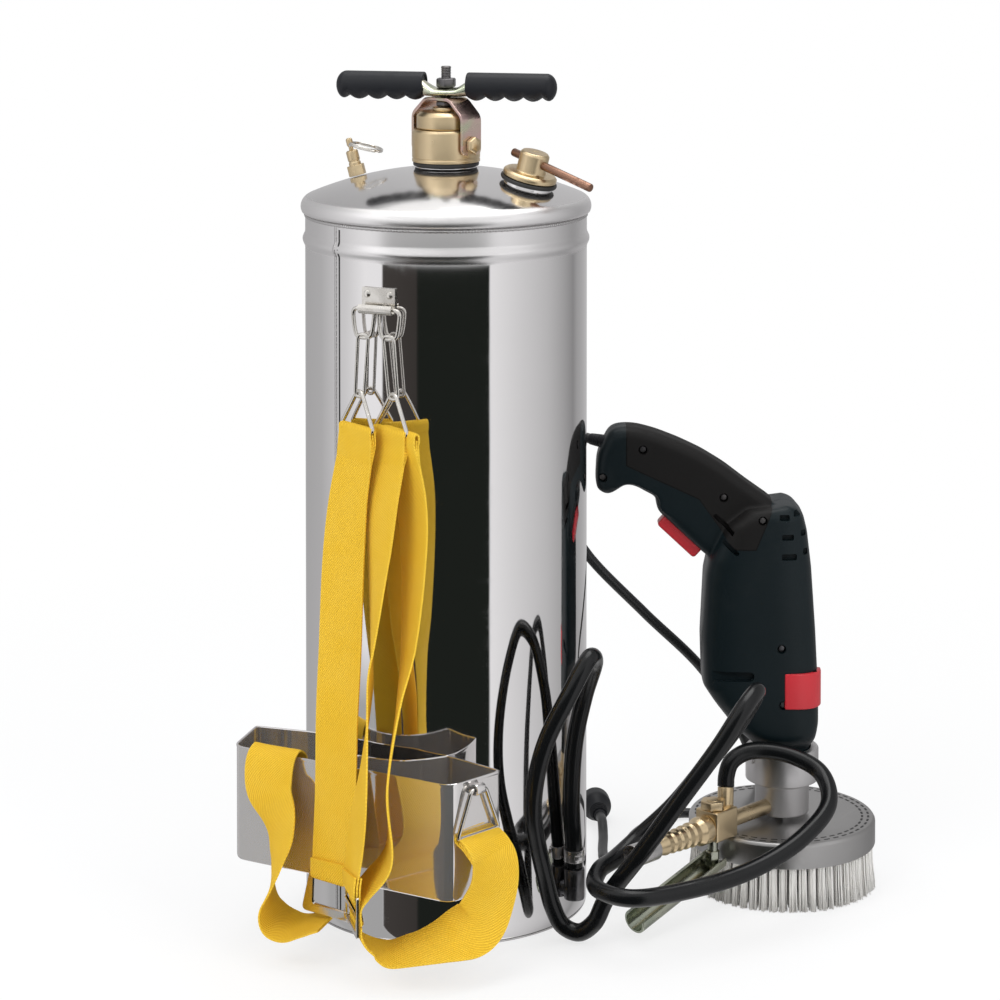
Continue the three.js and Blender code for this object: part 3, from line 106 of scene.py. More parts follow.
def noiseOf(tree, where, scale, detail, **more):
    inputs = {"Vector": where, "Scale": scale, "Detail": detail}
    inputs.update((key.title(), value) for key, value in more.items())
    return addNode(tree, "ShaderNodeTexNoise", inputs).outputs[0]


def rangeOf(tree, value, low, high, first=0.0, last=1.0):
    # The value's way from low to high, held at both ends, as first to last.
    return addNode(tree, "ShaderNodeMapRange", {"Value": value, "From Min": low, "From Max": high,
                                                "To Min": first, "To Max": last}).outputs[0]


def ramp(tree, value, stops):
    node = addNode(tree, "ShaderNodeValToRGB", {0: value})
    marks = node.color_ramp.elements
    while len(marks) < len(stops):
        marks.new(0.5)
    for mark, (at, tone) in zip(marks, stops):
        mark.position = at
        mark.color = (*(tone if isinstance(tone, tuple) else (tone,) * 3), 1)
    return node.outputs[0]


def mixColour(tree, share, first, second):
    first, second = (value if isinstance(value, bpy.types.NodeSocket) else (*value, 1)
                     for value in (first, second))
    return addNode(tree, "ShaderNodeMix", {0: share, 6: first, 7: second}, data_type="RGBA").outputs[2]


def newGroup(name, inputs, outputs):
    tree = bpy.data.node_groups.new(name, "ShaderNodeTree")
    for label, kind, value in inputs:
        socket = tree.interface.new_socket(label, in_out="INPUT", socket_type=kind)
        if value is not None:
            socket.default_value = value
    for label, kind in outputs:
        tree.interface.new_socket(label, in_out="OUTPUT", socket_type=kind)
    return tree, addNode(tree, "NodeGroupInput"), addNode(tree, "NodeGroupOutput")


def useGroup(tree, group, **inputs):
    return addNode(tree, "ShaderNodeGroup", inputs, node_tree=group)


def makeScuffs():
    # Fine hairlines: noise stretched along one axis, thresholded, and broken up by a slow noise.
    tree, given, result = newGroup("scuffs", [
        ("Vector", "NodeSocketVector", None), ("Scale", "NodeSocketFloat", 60.0),
        ("Amount", "NodeSocketFloat", 0.2),
    ], [("Mask", "NodeSocketFloat"), ("Height", "NodeSocketFloat")])
    turned = addNode(tree, "ShaderNodeMapping", {"Vector": given.outputs["Vector"],
                                                 "Rotation": (0.5, 0.3, 0.9), "Scale": (1, 0.06, 1)})
    lines = noiseOf(tree, turned.outputs[0], given.outputs["Scale"], 4.0, roughness=0.7)
    patches = noiseOf(tree, given.outputs["Vector"], 9.0, 3.0)
    thin = ramp(tree, lines, [(0.52, 0.0), (0.62, 1.0)])
    where = ramp(tree, patches, [(0.42, 0.0), (0.62, 1.0)])
    mask = times(tree, times(tree, thin, where), given.outputs["Amount"])
    tree.links.new(mask, result.inputs["Mask"])
    tree.links.new(lines, result.inputs["Height"])
    return tree


def makeTone():
    # Slow blotches of a second colour over the first, for tarnish, dust and uneven dye.
    tree, given, result = newGroup("tone", [
        ("Vector", "NodeSocketVector", None), ("Scale", "NodeSocketFloat", 20.0),
        ("Colour", "NodeSocketColor", (1, 1, 1, 1)), ("Second", "NodeSocketColor", (0, 0, 0, 1)),
        ("Amount", "NodeSocketFloat", 0.5),
    ], [("Colour", "NodeSocketColor"), ("Mask", "NodeSocketFloat")])
    noise = noiseOf(tree, given.outputs["Vector"], given.outputs["Scale"], 5.0, roughness=0.6,
                    distortion=0.4)
    mask = ramp(tree, noise, [(0.38, 0.0), (0.66, 1.0)])
    share = times(tree, mask, given.outputs["Amount"])
    mixed = mixColour(tree, share, given.outputs["Colour"], given.outputs["Second"])
    tree.links.new(mixed, result.inputs["Colour"])
    tree.links.new(mask, result.inputs["Mask"])
    return tree


def makeGrain():
    # Moulded or cast grain: a fine cell pattern over a finer noise.
    tree, given, result = newGroup("grain", [
        ("Vector", "NodeSocketVector", None), ("Scale", "NodeSocketFloat", 900.0),
    ], [("Height", "NodeSocketFloat")])
    cells = addNode(tree, "ShaderNodeTexVoronoi", {"Vector": given.outputs["Vector"],
                                                   "Scale": given.outputs["Scale"]}, feature="SMOOTH_F1")
    fine = noiseOf(tree, given.outputs["Vector"], given.outputs["Scale"], 3.0)
    tree.links.new(plus(tree, cells.outputs[0], fine), result.inputs["Height"])
    return tree


scuffs, tone, grain = makeScuffs(), makeTone(), makeGrain()


def newLook(name, **plain):
    look = bpy.data.materials.new(name)
    look.use_nodes = True
    tree = look.node_tree
    shader = tree.nodes["Principled BSDF"]
    for key, value in plain.items():
        socket = shader.inputs[key.replace("_", " ")]
        socket.default_value = (*value, 1) if isinstance(value, tuple) and len(value) == 3 else value
    place = addNode(tree, "ShaderNodeTexCoord")
    return look, tree, shader, place.outputs["Object"], place.outputs["UV"]


def bump(tree, shader, height, strength, distance):
    node = addNode(tree, "ShaderNodeBump", {"Height": height, "Strength": strength, "Distance": distance})
    tree.links.new(node.outputs[0], shader.inputs["Normal"])


def feed(tree, shader, colour, rough):
    tree.links.new(colour, shader.inputs["Base Color"])
    tree.links.new(rough, shader.inputs["Roughness"])


def metalLook(name, colour, second, roughness, scuffed=0.2, blotch=0.3, lift=0.0, size=60.0, blotchSize=14.0,
              wave=0.0, metallic=1.0, soft=None, **plain):
    # Metal: its colour drifts to a second one in blotches, hairlines and blotches roughen it. Between the two
    # heights of soft, in metres, the finish is duller.
    look, tree, shader, where, _ = newLook(name, Metallic=metallic, **plain)
    tint = useGroup(tree, tone, Vector=where, Scale=blotchSize, Colour=(*colour, 1), Second=(*second, 1),
                    Amount=blotch)
    marks = useGroup(tree, scuffs, Vector=where, Scale=size, Amount=scuffed)
    rough = plus(tree, times(tree, tint.outputs["Mask"], lift), roughness)
    if soft:
        height = addNode(tree, "ShaderNodeSeparateXYZ", {0: where}).outputs[2]
        low, high = soft
        over = rangeOf(tree, height, low - 0.001, low + 0.001)
        below = rangeOf(tree, height, high + 0.001, high - 0.001, 0.0, 0.24)
        rough = plus(tree, rough, times(tree, over, below))
    feed(tree, shader, tint.outputs["Colour"], plus(tree, rough, marks.outputs["Mask"]))
    if wave:
        bump(tree, shader, noiseOf(tree, where, 16.0, 1.0), wave, 0.002)
    else:
        bump(tree, shader, marks.outputs["Height"], 0.08, 0.0002)
    return look


def plasticLook(name, colour, second, roughness, grainSize=1400.0, grainDepth=0.25, **plain):
    # Plastic or rubber: grained, slightly uneven in colour, with faint scuffs in the gloss.
    look, tree, shader, where, _ = newLook(name, **plain)
    tint = useGroup(tree, tone, Vector=where, Scale=18.0, Colour=(*colour, 1), Second=(*second, 1),
                    Amount=0.25)
    marks = useGroup(tree, scuffs, Vector=where, Scale=45.0, Amount=0.1)
    cast = useGroup(tree, grain, Vector=where, Scale=grainSize)
    feed(tree, shader, tint.outputs["Colour"], plus(tree, marks.outputs["Mask"], roughness))
    bump(tree, shader, cast.outputs["Height"], grainDepth, 0.0002)
    return look


looks = {
    "mirror": metalLook("mirrorSteel", (0.83, 0.82, 0.82), (0.76, 0.75, 0.75), 0.035, 0.05, 0.3, 0.02, 40.0,
                        6.0, wave=0.06, soft=(0.513, 1.0)),
    "dome": metalLook("domeSteel", (0.86, 0.85, 0.85), (0.80, 0.79, 0.79), 0.1, 0.04, 0.3, 0.04, 40.0, 6.0,
                      wave=0.05, soft=(0.0, 0.553)),
    "panel": metalLook("traySteel", (0.82, 0.80, 0.79), (0.72, 0.70, 0.69), 0.05, 0.03, 0.3, 0.03, 40.0, 6.0,
                       wave=0.03, metallic=0.88),
    "satin": metalLook("satinSteel", (0.62, 0.61, 0.61), (0.5, 0.49, 0.48), 0.24, 0.25, 0.4, 0.1),
    "brass": metalLook("brass", (0.71, 0.57, 0.36), (0.62, 0.46, 0.26), 0.27, 0.15, 0.3, 0.06, 90.0, 30.0),
    "bronze": metalLook("bronze", (0.30, 0.17, 0.12), (0.16, 0.09, 0.06), 0.3, 0.4, 0.5, 0.1, 120.0, 40.0),
    "blackSteel": metalLook("blackSteel", (0.13, 0.13, 0.14), (0.3, 0.27, 0.24), 0.32, 0.3, 0.3, 0.1, 120.0,
                            60.0),
    "wire": metalLook("wireSteel", (0.78, 0.76, 0.72), (0.62, 0.58, 0.52), 0.14, 0.2, 0.3, 0.1, 90.0, 60.0),
    "copper": metalLook("copperWinding", (0.62, 0.32, 0.18), (0.4, 0.2, 0.1), 0.35),
    "cast": metalLook("castAluminium", (0.68, 0.67, 0.67), (0.54, 0.53, 0.54), 0.36, 0.25, 0.4, 0.12, 50.0,
                      12.0),
    "disc": metalLook("discSteel", (0.46, 0.455, 0.45), (0.36, 0.355, 0.35), 0.3, 0.25, 0.4, 0.1, 50.0,
                      12.0),
    "rubber": plasticLook("blackRubber", (0.007, 0.008, 0.011), (0.013, 0.014, 0.017), 0.44,
                          Specular_IOR_Level=0.28),
    "seal": plasticLook("sealRubber", (0.012, 0.012, 0.012), (0.03, 0.026, 0.022), 0.5),
    "hose": plasticLook("hosePlastic", (0.004, 0.0045, 0.005), (0.009, 0.0095, 0.01), 0.22, 300.0, 0.03,
                        Specular_IOR_Level=0.36),
    "cord": plasticLook("cordRubber", (0.014, 0.015, 0.016), (0.03, 0.03, 0.03), 0.36, 800.0, 0.1),
    "red": plasticLook("redPlastic", (0.52, 0.02, 0.03), (0.42, 0.012, 0.02), 0.3, 1600.0, 0.15),
    "bristle": plasticLook("bristleNylon", (0.93, 0.91, 0.87), (0.84, 0.81, 0.75), 0.5, 500.0, 0.1),
}


def least(tree, *values):
    found = values[0]
    for value in values[1:]:
        found = sums(tree, "MINIMUM", found, value)
    return found


def makeHousingLook():
    # Moulded plastic, with a soft brown-black grip over the handle. In the tool's own frame, in
    # millimetres, the grip lies where four slanted lines are all passed; a groove runs round it, and
    # the groove's near-black colour is painted shade.
    look, tree, shader, where, _ = newLook("housingPlastic", Specular_IOR_Level=0.22)
    tool = addNode(tree, "ShaderNodeMapping", {"Vector": where, "Location": (-266.97, -32.0, 0),
                                               "Rotation": (0, 0, math.radians(-30)),
                                               "Scale": (1000, 1000, 1000)})
    parts = addNode(tree, "ShaderNodeSeparateXYZ", {0: tool.outputs[0]})
    x, z = parts.outputs[0], parts.outputs[2]
    line = lambda slope, start, height: plus(tree, times(tree, x, slope), height - slope * start)
    under = least(tree, line(-0.4625, -124.8, 336.2), line(-1.4, -67.5, 309.7))
    end = addNode(tree, "ShaderNodeMath", {0: z, 1: 1 / 2.4, 2: -23.4 - 274.4 / 2.4},
                  operation="MULTIPLY_ADD")
    right = sums(tree, "SUBTRACT", end.outputs[0], x)
    inside = least(tree, plus(tree, x, 125.0), sums(tree, "SUBTRACT", z, under), plus(tree, z, -273.0),
                   right)
    mask = sums(tree, "GREATER_THAN", inside, 0.0)
    groove = sums(tree, "LESS_THAN", sums(tree, "ABSOLUTE", inside, 0.0), 0.45)
    tint = useGroup(tree, tone, Vector=where, Scale=18.0, Colour=(0.0035, 0.0085, 0.0105, 1),
                    Second=(0.006, 0.012, 0.015, 1), Amount=0.3)
    marks = useGroup(tree, scuffs, Vector=where, Scale=45.0, Amount=0.1)
    cast = useGroup(tree, grain, Vector=where, Scale=1600.0)
    colour = mixColour(tree, mask, tint.outputs["Colour"], (0.0055, 0.005, 0.0048))
    # The groove's near-black is painted shade in the recess.
    colour = mixColour(tree, groove, colour, (0.001, 0.001, 0.001))
    rough = plus(tree, times(tree, mask, 0.22), 0.38)
    feed(tree, shader, colour, plus(tree, rough, marks.outputs["Mask"]))
    height = sums(tree, "SUBTRACT", times(tree, cast.outputs["Height"], 0.25),
                  times(tree, groove, 2.0))
    bump(tree, shader, height, 0.5, 0.0003)
    return look


def makeZincLook(name, *colours):
    # Passivated zinc: the given colours drift into each other in slow bands.
    look, tree, shader, where, _ = newLook(name, Metallic=1.0)
    noise = noiseOf(tree, where, 20.0, 2.0, distortion=0.8)
    steps = np.linspace(0.32, 0.68, len(colours)).tolist()
    marks = useGroup(tree, scuffs, Vector=where, Scale=90.0, Amount=0.2)
    bands = ramp(tree, noise, list(zip(steps, colours)))
    feed(tree, shader, bands, plus(tree, marks.outputs["Mask"], 0.24))
    bump(tree, shader, marks.outputs["Height"], 0.1, 0.0002)
    return look


def makeWebbingLook():
    # Twill webbing on the strap's own UV map, u across in metres and v along in metres: diagonal ribs of
    # yarn, a fine cross rib and a plain selvage; the ribs' valleys are painted a deeper orange as shade.
    look, tree, shader, _, uv = newLook("webbing", Roughness=0.85, Specular_IOR_Level=0.15)
    parts = addNode(tree, "ShaderNodeSeparateXYZ", {0: uv})
    u, v = parts.outputs[0], parts.outputs[1]
    lean = plus(tree, times(tree, u, 1.15), v)
    rib = sums(tree, "SINE", times(tree, lean, 2 * pi / 0.0023), 0.0)
    yarn = sums(tree, "SINE", times(tree, v, 2 * pi / 0.0006), 0.0)
    edge = times(tree, sums(tree, "ABSOLUTE", u, 0.0), 1 / 0.02)
    selvage = ramp(tree, edge, [(0.93, 0.0), (0.955, 1.0)])
    height = plus(tree, times(tree, rib, 0.7), times(tree, yarn, 0.15))
    bump(tree, shader, plus(tree, height, times(tree, selvage, 0.5)), 0.6, 0.0005)
    slow = useGroup(tree, tone, Vector=uv, Scale=26.0, Colour=(0.90, 0.57, 0.04, 1),
                    Second=(0.95, 0.65, 0.085, 1), Amount=0.6)
    # The rib's low half is painted a deeper orange: painted shade in the valleys between the ribs.
    groove = ramp(tree, rib, [(0.0, (0.66, 0.34, 0.012)), (0.6, (0.93, 0.60, 0.04))])
    cloth = mixColour(tree, 0.5, slow.outputs["Colour"], groove)
    tree.links.new(mixColour(tree, times(tree, selvage, 0.3), cloth, (0.92, 0.64, 0.07)),
                   shader.inputs["Base Color"])
    return look


looks["zinc"] = makeZincLook("handleZinc", (0.62, 0.44, 0.40), (0.66, 0.62, 0.50), (0.55, 0.60, 0.46),
                            (0.68, 0.66, 0.52))
looks["pinkZinc"] = makeZincLook("yokeZinc", (0.66, 0.46, 0.42), (0.72, 0.58, 0.46), (0.68, 0.48, 0.46),
                                (0.58, 0.60, 0.44))
looks["greyZinc"] = makeZincLook("leverZinc", (0.44, 0.45, 0.38), (0.50, 0.52, 0.42), (0.40, 0.44, 0.36))
looks["housing"] = makeHousingLook()
looks["webbing"] = makeWebbingLook()
print("materials ready")


def joined(*shapes):
    points, faces, count = [], [], 0
    for some, parts in shapes:
        points.append(some)
        faces += [part + count for part in parts]
        count += len(some)
    return np.concatenate(points), faces


def moved(item, matrix):
    array = np.array(matrix)
    return item[0] @ array[:3, :3].T + array[:3, 3], item[1]


def upTo(point, way):
    # The matrix that carries +Z to a way and the origin to a point.
    return Matrix.Translation(point) @ Vector(way).to_track_quat("Z", "Y").to_matrix().to_4x4()


def spin(degrees, axis="Z"):
    return Matrix.Rotation(math.radians(degrees), 4, axis)


def shift(x, y, z):
    return Matrix.Translation((x, y, z))


def unit(rows):
    return rows / (np.linalg.norm(rows, axis=-1, keepdims=True) + 1e-9)


def lengthsOf(path):
    # The distance run along a path at each of its points.
    return np.concatenate([[0], np.cumsum(np.linalg.norm(np.diff(path, axis=0), axis=1))])


def level(ring, z):
    return np.c_[ring, np.full(len(ring), z)]


def arcOf(radius, angle):
    return np.stack([radius * np.cos(angle), radius * np.sin(angle)], 1)


def acrossX(x, y, z):
    # Sections as rows: x fills each of them, y and z run round it.
    return np.stack(np.broadcast_arrays(x[:, None], y, z), -1)


def anticlockwise(outline):
    x, y = outline.T
    return outline if np.sum(x * np.roll(y, -1) - y * np.roll(x, -1)) > 0 else outline[::-1]


def grid(points, wrapRows=False, wrapColumns=False):
    # A rows x columns x 3 array as quads; a wrapped way closes on itself.
    rows, columns = points.shape[:2]
    index = np.arange(rows * columns).reshape(rows, columns)
    if wrapRows:
        index = np.concatenate([index, index[:1]])
    if wrapColumns:
        index = np.concatenate([index, index[:, :1]], 1)
    quads = np.stack([index[:-1, :-1], index[:-1, 1:], index[1:, 1:], index[1:, :-1]], -1).reshape(-1, 4)
    return points.reshape(-1, 3), [quads]


def capped(points):
    # Closed sections as rows, with both ends filled.
    rows, k = points.shape[:2]
    points, faces = grid(points, wrapColumns=True)
    return points, faces + [np.arange(k)[None, ::-1], (np.arange(k) + (rows - 1) * k)[None]]


def softLine(points, radius, steps=3, closed=False):
    # Each corner becomes a quadratic curve that starts and ends a radius from it, or 45% of its side.
    points = np.asarray(points, float)
    before, after = np.roll(points, 1, 0), np.roll(points, -1, 0)
    toBefore, toAfter = before - points, after - points
    lengthBefore = np.linalg.norm(toBefore, axis=1, keepdims=True) + 1e-9
    lengthAfter = np.linalg.norm(toAfter, axis=1, keepdims=True) + 1e-9
    radius = np.broadcast_to(np.asarray(radius, float).reshape(-1, 1), (len(points), 1))
    start = points + toBefore / lengthBefore * np.minimum(radius, 0.45 * lengthBefore)
    end = points + toAfter / lengthAfter * np.minimum(radius, 0.45 * lengthAfter)
    t = np.linspace(0, 1, steps + 1).reshape(1, -1, 1)
    curve = (1 - t) ** 2 * start[:, None] + 2 * t * (1 - t) * points[:, None] + t ** 2 * end[:, None]
    if closed:
        return curve.reshape(-1, points.shape[1])
    return np.concatenate([points[:1], curve[1:-1].reshape(-1, points.shape[1]), points[-1:]])


def slowly(values, reach):
    # A moving mean over 2 reach + 1 samples, with the ends held.
    kernel = np.ones(2 * reach + 1) / (2 * reach + 1)
    ends = np.pad(values, ((reach, reach), (0, 0)), mode="edge")
    return np.stack([np.convolve(column, kernel, "valid") for column in ends.T], 1)


def oblong(left, low, right, high, soft, steps):
    return softLine([(left, low), (right, low), (right, high), (left, high)], soft, steps, True)


def lathe(profile, sides=64, ripple=None):
    # Radius and height along a profile, carried round Z; ripple(angle, height) adds to the radius.
    profile = np.asarray(profile, float)
    angle = np.linspace(0, 2 * pi, sides, endpoint=False)
    radius = np.repeat(profile[:, :1], sides, 1)
    height = np.repeat(profile[:, 1:], sides, 1)
    if ripple:
        radius = radius + ripple(angle[None, :], height) * (radius > 1e-6)
    points = np.stack([radius * np.cos(angle), radius * np.sin(angle), height], -1)
    return grid(points, wrapColumns=True)


def oval(width, depth, sides=16, power=2.0):
    # A superellipse: cos and sin raised to 2 / power, scaled to the half width and half depth.
    angle = np.linspace(0, 2 * pi, sides, endpoint=False)
    bend = lambda x: np.sign(x) * np.abs(x) ** (2 / power)
    return np.stack([width * bend(np.cos(angle)), depth * bend(np.sin(angle))], 1)


def curveThrough(points, count):
    # A centripetal Catmull-Rom curve, evaluated for all samples at once.
    full = np.concatenate([2 * points[:1] - points[1:2], points, 2 * points[-1:] - points[-2:-1]])
    spans = len(points) - 1
    t = np.linspace(0, spans, count)
    i = np.minimum(t.astype(int), spans - 1)
    w = (t - i)[:, None]
    p0, p1, p2, p3 = full[i], full[i + 1], full[i + 2], full[i + 3]
    gap = lambda a, b: np.sqrt(np.maximum(np.linalg.norm(b - a, axis=1, keepdims=True), 1e-9))
    d0, d1, d2 = gap(p0, p1), gap(p1, p2), gap(p2, p3)
    m1 = ((p1 - p0) / d0 - (p2 - p0) / (d0 + d1) + (p2 - p1) / d1) * d1
    m2 = ((p2 - p1) / d1 - (p3 - p1) / (d1 + d2) + (p3 - p2) / d2) * d1
    return p1 + m1 * w + (3 * (p2 - p1) - 2 * m1 - m2) * w ** 2 + (2 * (p1 - p2) + m1 + m2) * w ** 3


def evenly(path, count, closed=False):
    # The same line with samples at equal distances along it.
    line = np.concatenate([path, path[:1]]) if closed else path
    along = lengthsOf(line)
    at = np.linspace(0, along[-1], count, endpoint=not closed)
    return np.stack([np.interp(at, along, column) for column in line.T], 1)


def tangents(path, closed=False):
    return unit(np.roll(path, -1, 0) - np.roll(path, 1, 0) if closed else np.gradient(path, axis=0))


def frames(path, closed=False):
    # Normals that turn as little as they can from sample to sample, and the third way across.
    tangent = tangents(path, closed)
    normal = np.zeros_like(path)
    side = Vector(tangent[0]).orthogonal().normalized()
    for i, way in enumerate(tangent):
        side = (side - Vector(way) * side.dot(Vector(way))).normalized()
        normal[i] = side
    across = np.cross(tangent, normal)
    if closed:
        first, last = Vector(normal[0]), side - Vector(tangent[0]) * side.dot(Vector(tangent[0]))
        gap = math.atan2(last.dot(Vector(across[0])), last.dot(first))
        turn = -gap * np.linspace(0, 1, len(path), endpoint=False)[:, None]
        normal, across = (normal * np.cos(turn) + across * np.sin(turn),
                          across * np.cos(turn) - normal * np.sin(turn))
    return normal, across


def carried(path, section, closed=False):
    # A section, k x 2, carried along a path.
    normal, across = frames(path, closed)
    points = path[:, None] + normal[:, None] * section[None, :, :1] + across[:, None] * section[None, :, 1:]
    return grid(points, True, True) if closed else capped(points)


def wire(points, radius, count, bend):
    # A closed ring of wire with rounded corners.
    path = evenly(softLine(points, bend, 5, True), count, True)
    return carried(path, oval(radius, radius, 14), True)


def insetLine(outline, amount):
    # A closed outline moved inwards by a distance, each corner along its mitre.
    before, after = unit(outline - np.roll(outline, 1, 0)), unit(np.roll(outline, -1, 0) - outline)
    normal = unit(np.stack([-before[:, 1] - after[:, 1], before[:, 0] + after[:, 0]], 1))
    lean = np.maximum(0.4, normal[:, 0] * -before[:, 1] + normal[:, 1] * before[:, 0])
    return outline + normal * (amount / lean)[:, None]


def slab(outline, low, high, edge=0.5, steps=3):
    # A closed outline, anticlockwise, raised from low to high with rounded rims.
    turn = np.linspace(0, pi / 2, steps + 1)
    rim = list(zip(edge * (1 - np.sin(turn)), edge * (1 - np.cos(turn))))
    rings = [level(insetLine(outline, inward), low + rise) for inward, rise in rim]
    rings += [level(insetLine(outline, inward), high - rise) for inward, rise in rim[::-1]]
    return capped(np.stack(rings))


def hexagon(across, soft=0.6):
    return softLine(arcOf(across / math.sqrt(3), np.arange(6) * pi / 3 + pi / 6), soft, 2, True)


def emit(name):
    # A material of pure light, white until its colour is linked.
    look = bpy.data.materials.new(name)
    look.use_nodes = True
    tree = look.node_tree
    tree.nodes.clear()
    shine = addNode(tree, "ShaderNodeEmission", {"Color": (1, 1, 1, 1), "Strength": 1.0})
    return look, tree, shine, addNode(tree, "ShaderNodeOutputMaterial", {0: shine.outputs[0]})


def meshOf(name, points, faces):
    mesh = bpy.data.meshes.new(name)
    mesh.from_pydata([tuple(p) for p in points], [], faces)
    piece = bpy.data.objects.new(name, mesh)
    bpy.context.collection.objects.link(piece)
    return piece


def addFloor():
    look, tree, shine, out = emit("floorWhite")
    paint = addNode(tree, "ShaderNodeBsdfDiffuse", {"Color": (0.9, 0.9, 0.9, 1)})
    path = addNode(tree, "ShaderNodeLightPath")
    place = addNode(tree, "ShaderNodeTexCoord")
    far = addNode(tree, "ShaderNodeVectorMath", {0: place.outputs["Object"]},
                  operation="LENGTH").outputs["Value"]
    share = times(tree, path.outputs["Is Camera Ray"], rangeOf(tree, far, 0.35, 1.1, 0.74, 1.0))
    mix = addNode(tree, "ShaderNodeMixShader", {0: share, 1: paint.outputs[0], 2: shine.outputs[0]})
    tree.links.new(mix.outputs[0], out.inputs[0])
    size = 6.0
    floor = meshOf("floor", [(-size, -size, 0), (size, -size, 0), (size, size, 0), (-size, size, 0)],
                   [(0, 1, 2, 3)])
    floor.location.z = -0.0004
    floor.data.materials.append(look)
    floor.visible_glossy = False


def addSurround():
    # A round screen that only shiny surfaces see: the white studio with the dark room behind the camera.
    # Azimuths are in degrees from the camera's side of the tank, rising to the right.
    screen = {"radius": 0.62, "foot": -0.8, "top": 1.25, "sides": 240, "camera": -60, "low": 0.05,
              "lowTone": 0.42, "high": 0.440, "highTone": 0.64,
              "tones": [
                  (-180, 0.58), (-150, 0.41), (-112, 0.48), (-80, 0.70), (-62, 0.91), (-47.6, 0.91),
                  (-47, 0.055), (-20.1, 0.042), (-19.6, 0.014), (33.2, 0.014), (33.7, 0.88), (60, 0.70),
                  (84, 0.56), (104, 0.40), (118, 0.28), (126, 0.38), (150, 0.50), (180, 0.58)]}
    angle = np.linspace(0, 2 * pi, screen["sides"], endpoint=False)
    rings = [level(arcOf(screen["radius"], angle), screen[end]) for end in ("foot", "top")]
    points, (faces,) = grid(np.stack(rings), wrapColumns=True)
    wall = meshOf("surround", points, faces.tolist())
    look, tree, shine, _ = emit("surroundTone")
    place = addNode(tree, "ShaderNodeTexCoord")
    turned = addNode(tree, "ShaderNodeMapping", {"Vector": place.outputs["Object"],
                                                 "Rotation": (0, 0, math.radians(-screen["camera"]))})
    parts = addNode(tree, "ShaderNodeSeparateXYZ", {0: turned.outputs[0]})
    height = parts.outputs[2]
    around = sums(tree, "ARCTAN2", parts.outputs[1], parts.outputs[0])
    share = plus(tree, times(tree, around, 1 / (2 * pi)), 0.5)
    shareAt = lambda azimuth: (azimuth + 180) / 360
    window = lambda *azimuths: list(zip(map(shareAt, azimuths), (0.0, 1.0, 1.0, 0.0)))
    tints = ((0.03, (0.95, 1.12, 0.95)), (0.15, (1.05, 0.93, 0.86)), (1.0, (1, 0.99, 1)))
    stops = []
    for azimuth, value in screen["tones"]:
        tint = next(tint for limit, tint in tints if value < limit)
        stops.append((shareAt(azimuth), tuple(value * part for part in tint)))
    low = rangeOf(tree, height, screen["low"] + 0.03, screen["low"] - 0.03)
    left = ramp(tree, share, window(-112, -100, -47.6, -47))
    shade = times(tree, low, left)
    tones = mixColour(tree, shade, ramp(tree, share, stops), (screen["lowTone"],) * 3)
    high = rangeOf(tree, height, screen["high"] - 0.004, screen["high"] + 0.004)
    room = ramp(tree, share, window(-47.6, -47, 33.2, 33.7))
    tones = mixColour(tree, times(tree, high, room), tones, (screen["highTone"],) * 3)
    tree.links.new(tones, shine.inputs[0])
    wall.data.materials.append(look)
    for ray in ("camera", "diffuse", "transmission", "volume_scatter", "shadow"):
        setattr(wall, "visible_" + ray, False)


def addWorld():
    world = bpy.data.worlds.new("studio")
    bpy.context.scene.world = world
    world.use_nodes = True
    tree = world.node_tree
    tree.nodes.clear()
    path = addNode(tree, "ShaderNodeLightPath")
    air = addNode(tree, "ShaderNodeBackground", {"Color": (0.95, 0.97, 1.0, 1), "Strength": 0.62})
    shown = addNode(tree, "ShaderNodeBackground", {"Color": (1, 1, 1, 1), "Strength": 1.0})
    above = addNode(tree, "ShaderNodeBackground", {"Color": (1.0, 0.99, 0.98, 1), "Strength": 1.05})
    shiny = sums(tree, "ADD", path.outputs["Is Glossy Ray"], path.outputs["Is Transmission Ray"], True)
    first = addNode(tree, "ShaderNodeMixShader", {0: shiny, 1: air.outputs[0], 2: above.outputs[0]})
    second = addNode(tree, "ShaderNodeMixShader", {0: path.outputs["Is Camera Ray"], 1: first.outputs[0],
                                                   2: shown.outputs[0]})
    addNode(tree, "ShaderNodeOutputWorld", {0: second.outputs[0]})


def addLamp(name, place, aim, size, power):
    lamp = bpy.data.objects.new(name, bpy.data.lights.new(name, "AREA"))
    bpy.context.collection.objects.link(lamp)
    lamp.data.shape = "RECTANGLE"
    lamp.data.size, lamp.data.size_y = size
    lamp.data.energy = power
    lamp.location = place
    lamp.rotation_euler = (Vector(aim) - Vector(place)).to_track_quat("-Z", "Y").to_euler()


addFloor()
addSurround()
addWorld()
addLamp("keyLamp", (-0.5, -2.2, 2.3), (0, 0, 0.3), (1.6, 1.2), 34)
addLamp("sideLamp", (2.4, -0.6, 1.7), (0.1, 0, 0.3), (1.2, 1.4), 20)
addLamp("topLamp", (0.1, 0.4, 2.6), (0, 0, 0.3), (1.8, 1.8), 22)
print("stage ready")


bodyOf = {node: body for body, nodes in frame["record"]["behaviour"]["bodies"].items() for node in nodes}


def addMesh(name, item, uv=None, flat=30, merge=False):
    # An object from points in millimetres and lists of faces, smooth but for edges over an angle.
    points, faces = item
    mesh = bpy.data.meshes.new(name)
    mesh.from_pydata((points * 0.001).tolist(), [], [row for part in faces for row in part.tolist()])
    if uv is not None:
        layer = mesh.uv_layers.new(name="UVMap")
        corner = np.zeros(len(mesh.loops), np.int32)
        mesh.loops.foreach_get("vertex_index", corner)
        layer.data.foreach_set("uv", np.asarray(uv, np.float32)[corner].ravel())
    shell = bmesh.new()
    shell.from_mesh(mesh)
    if merge:
        bmesh.ops.remove_doubles(shell, verts=shell.verts, dist=1e-6)
    bmesh.ops.recalc_face_normals(shell, faces=shell.faces)
    return addShell(name, mesh, shell, flat)


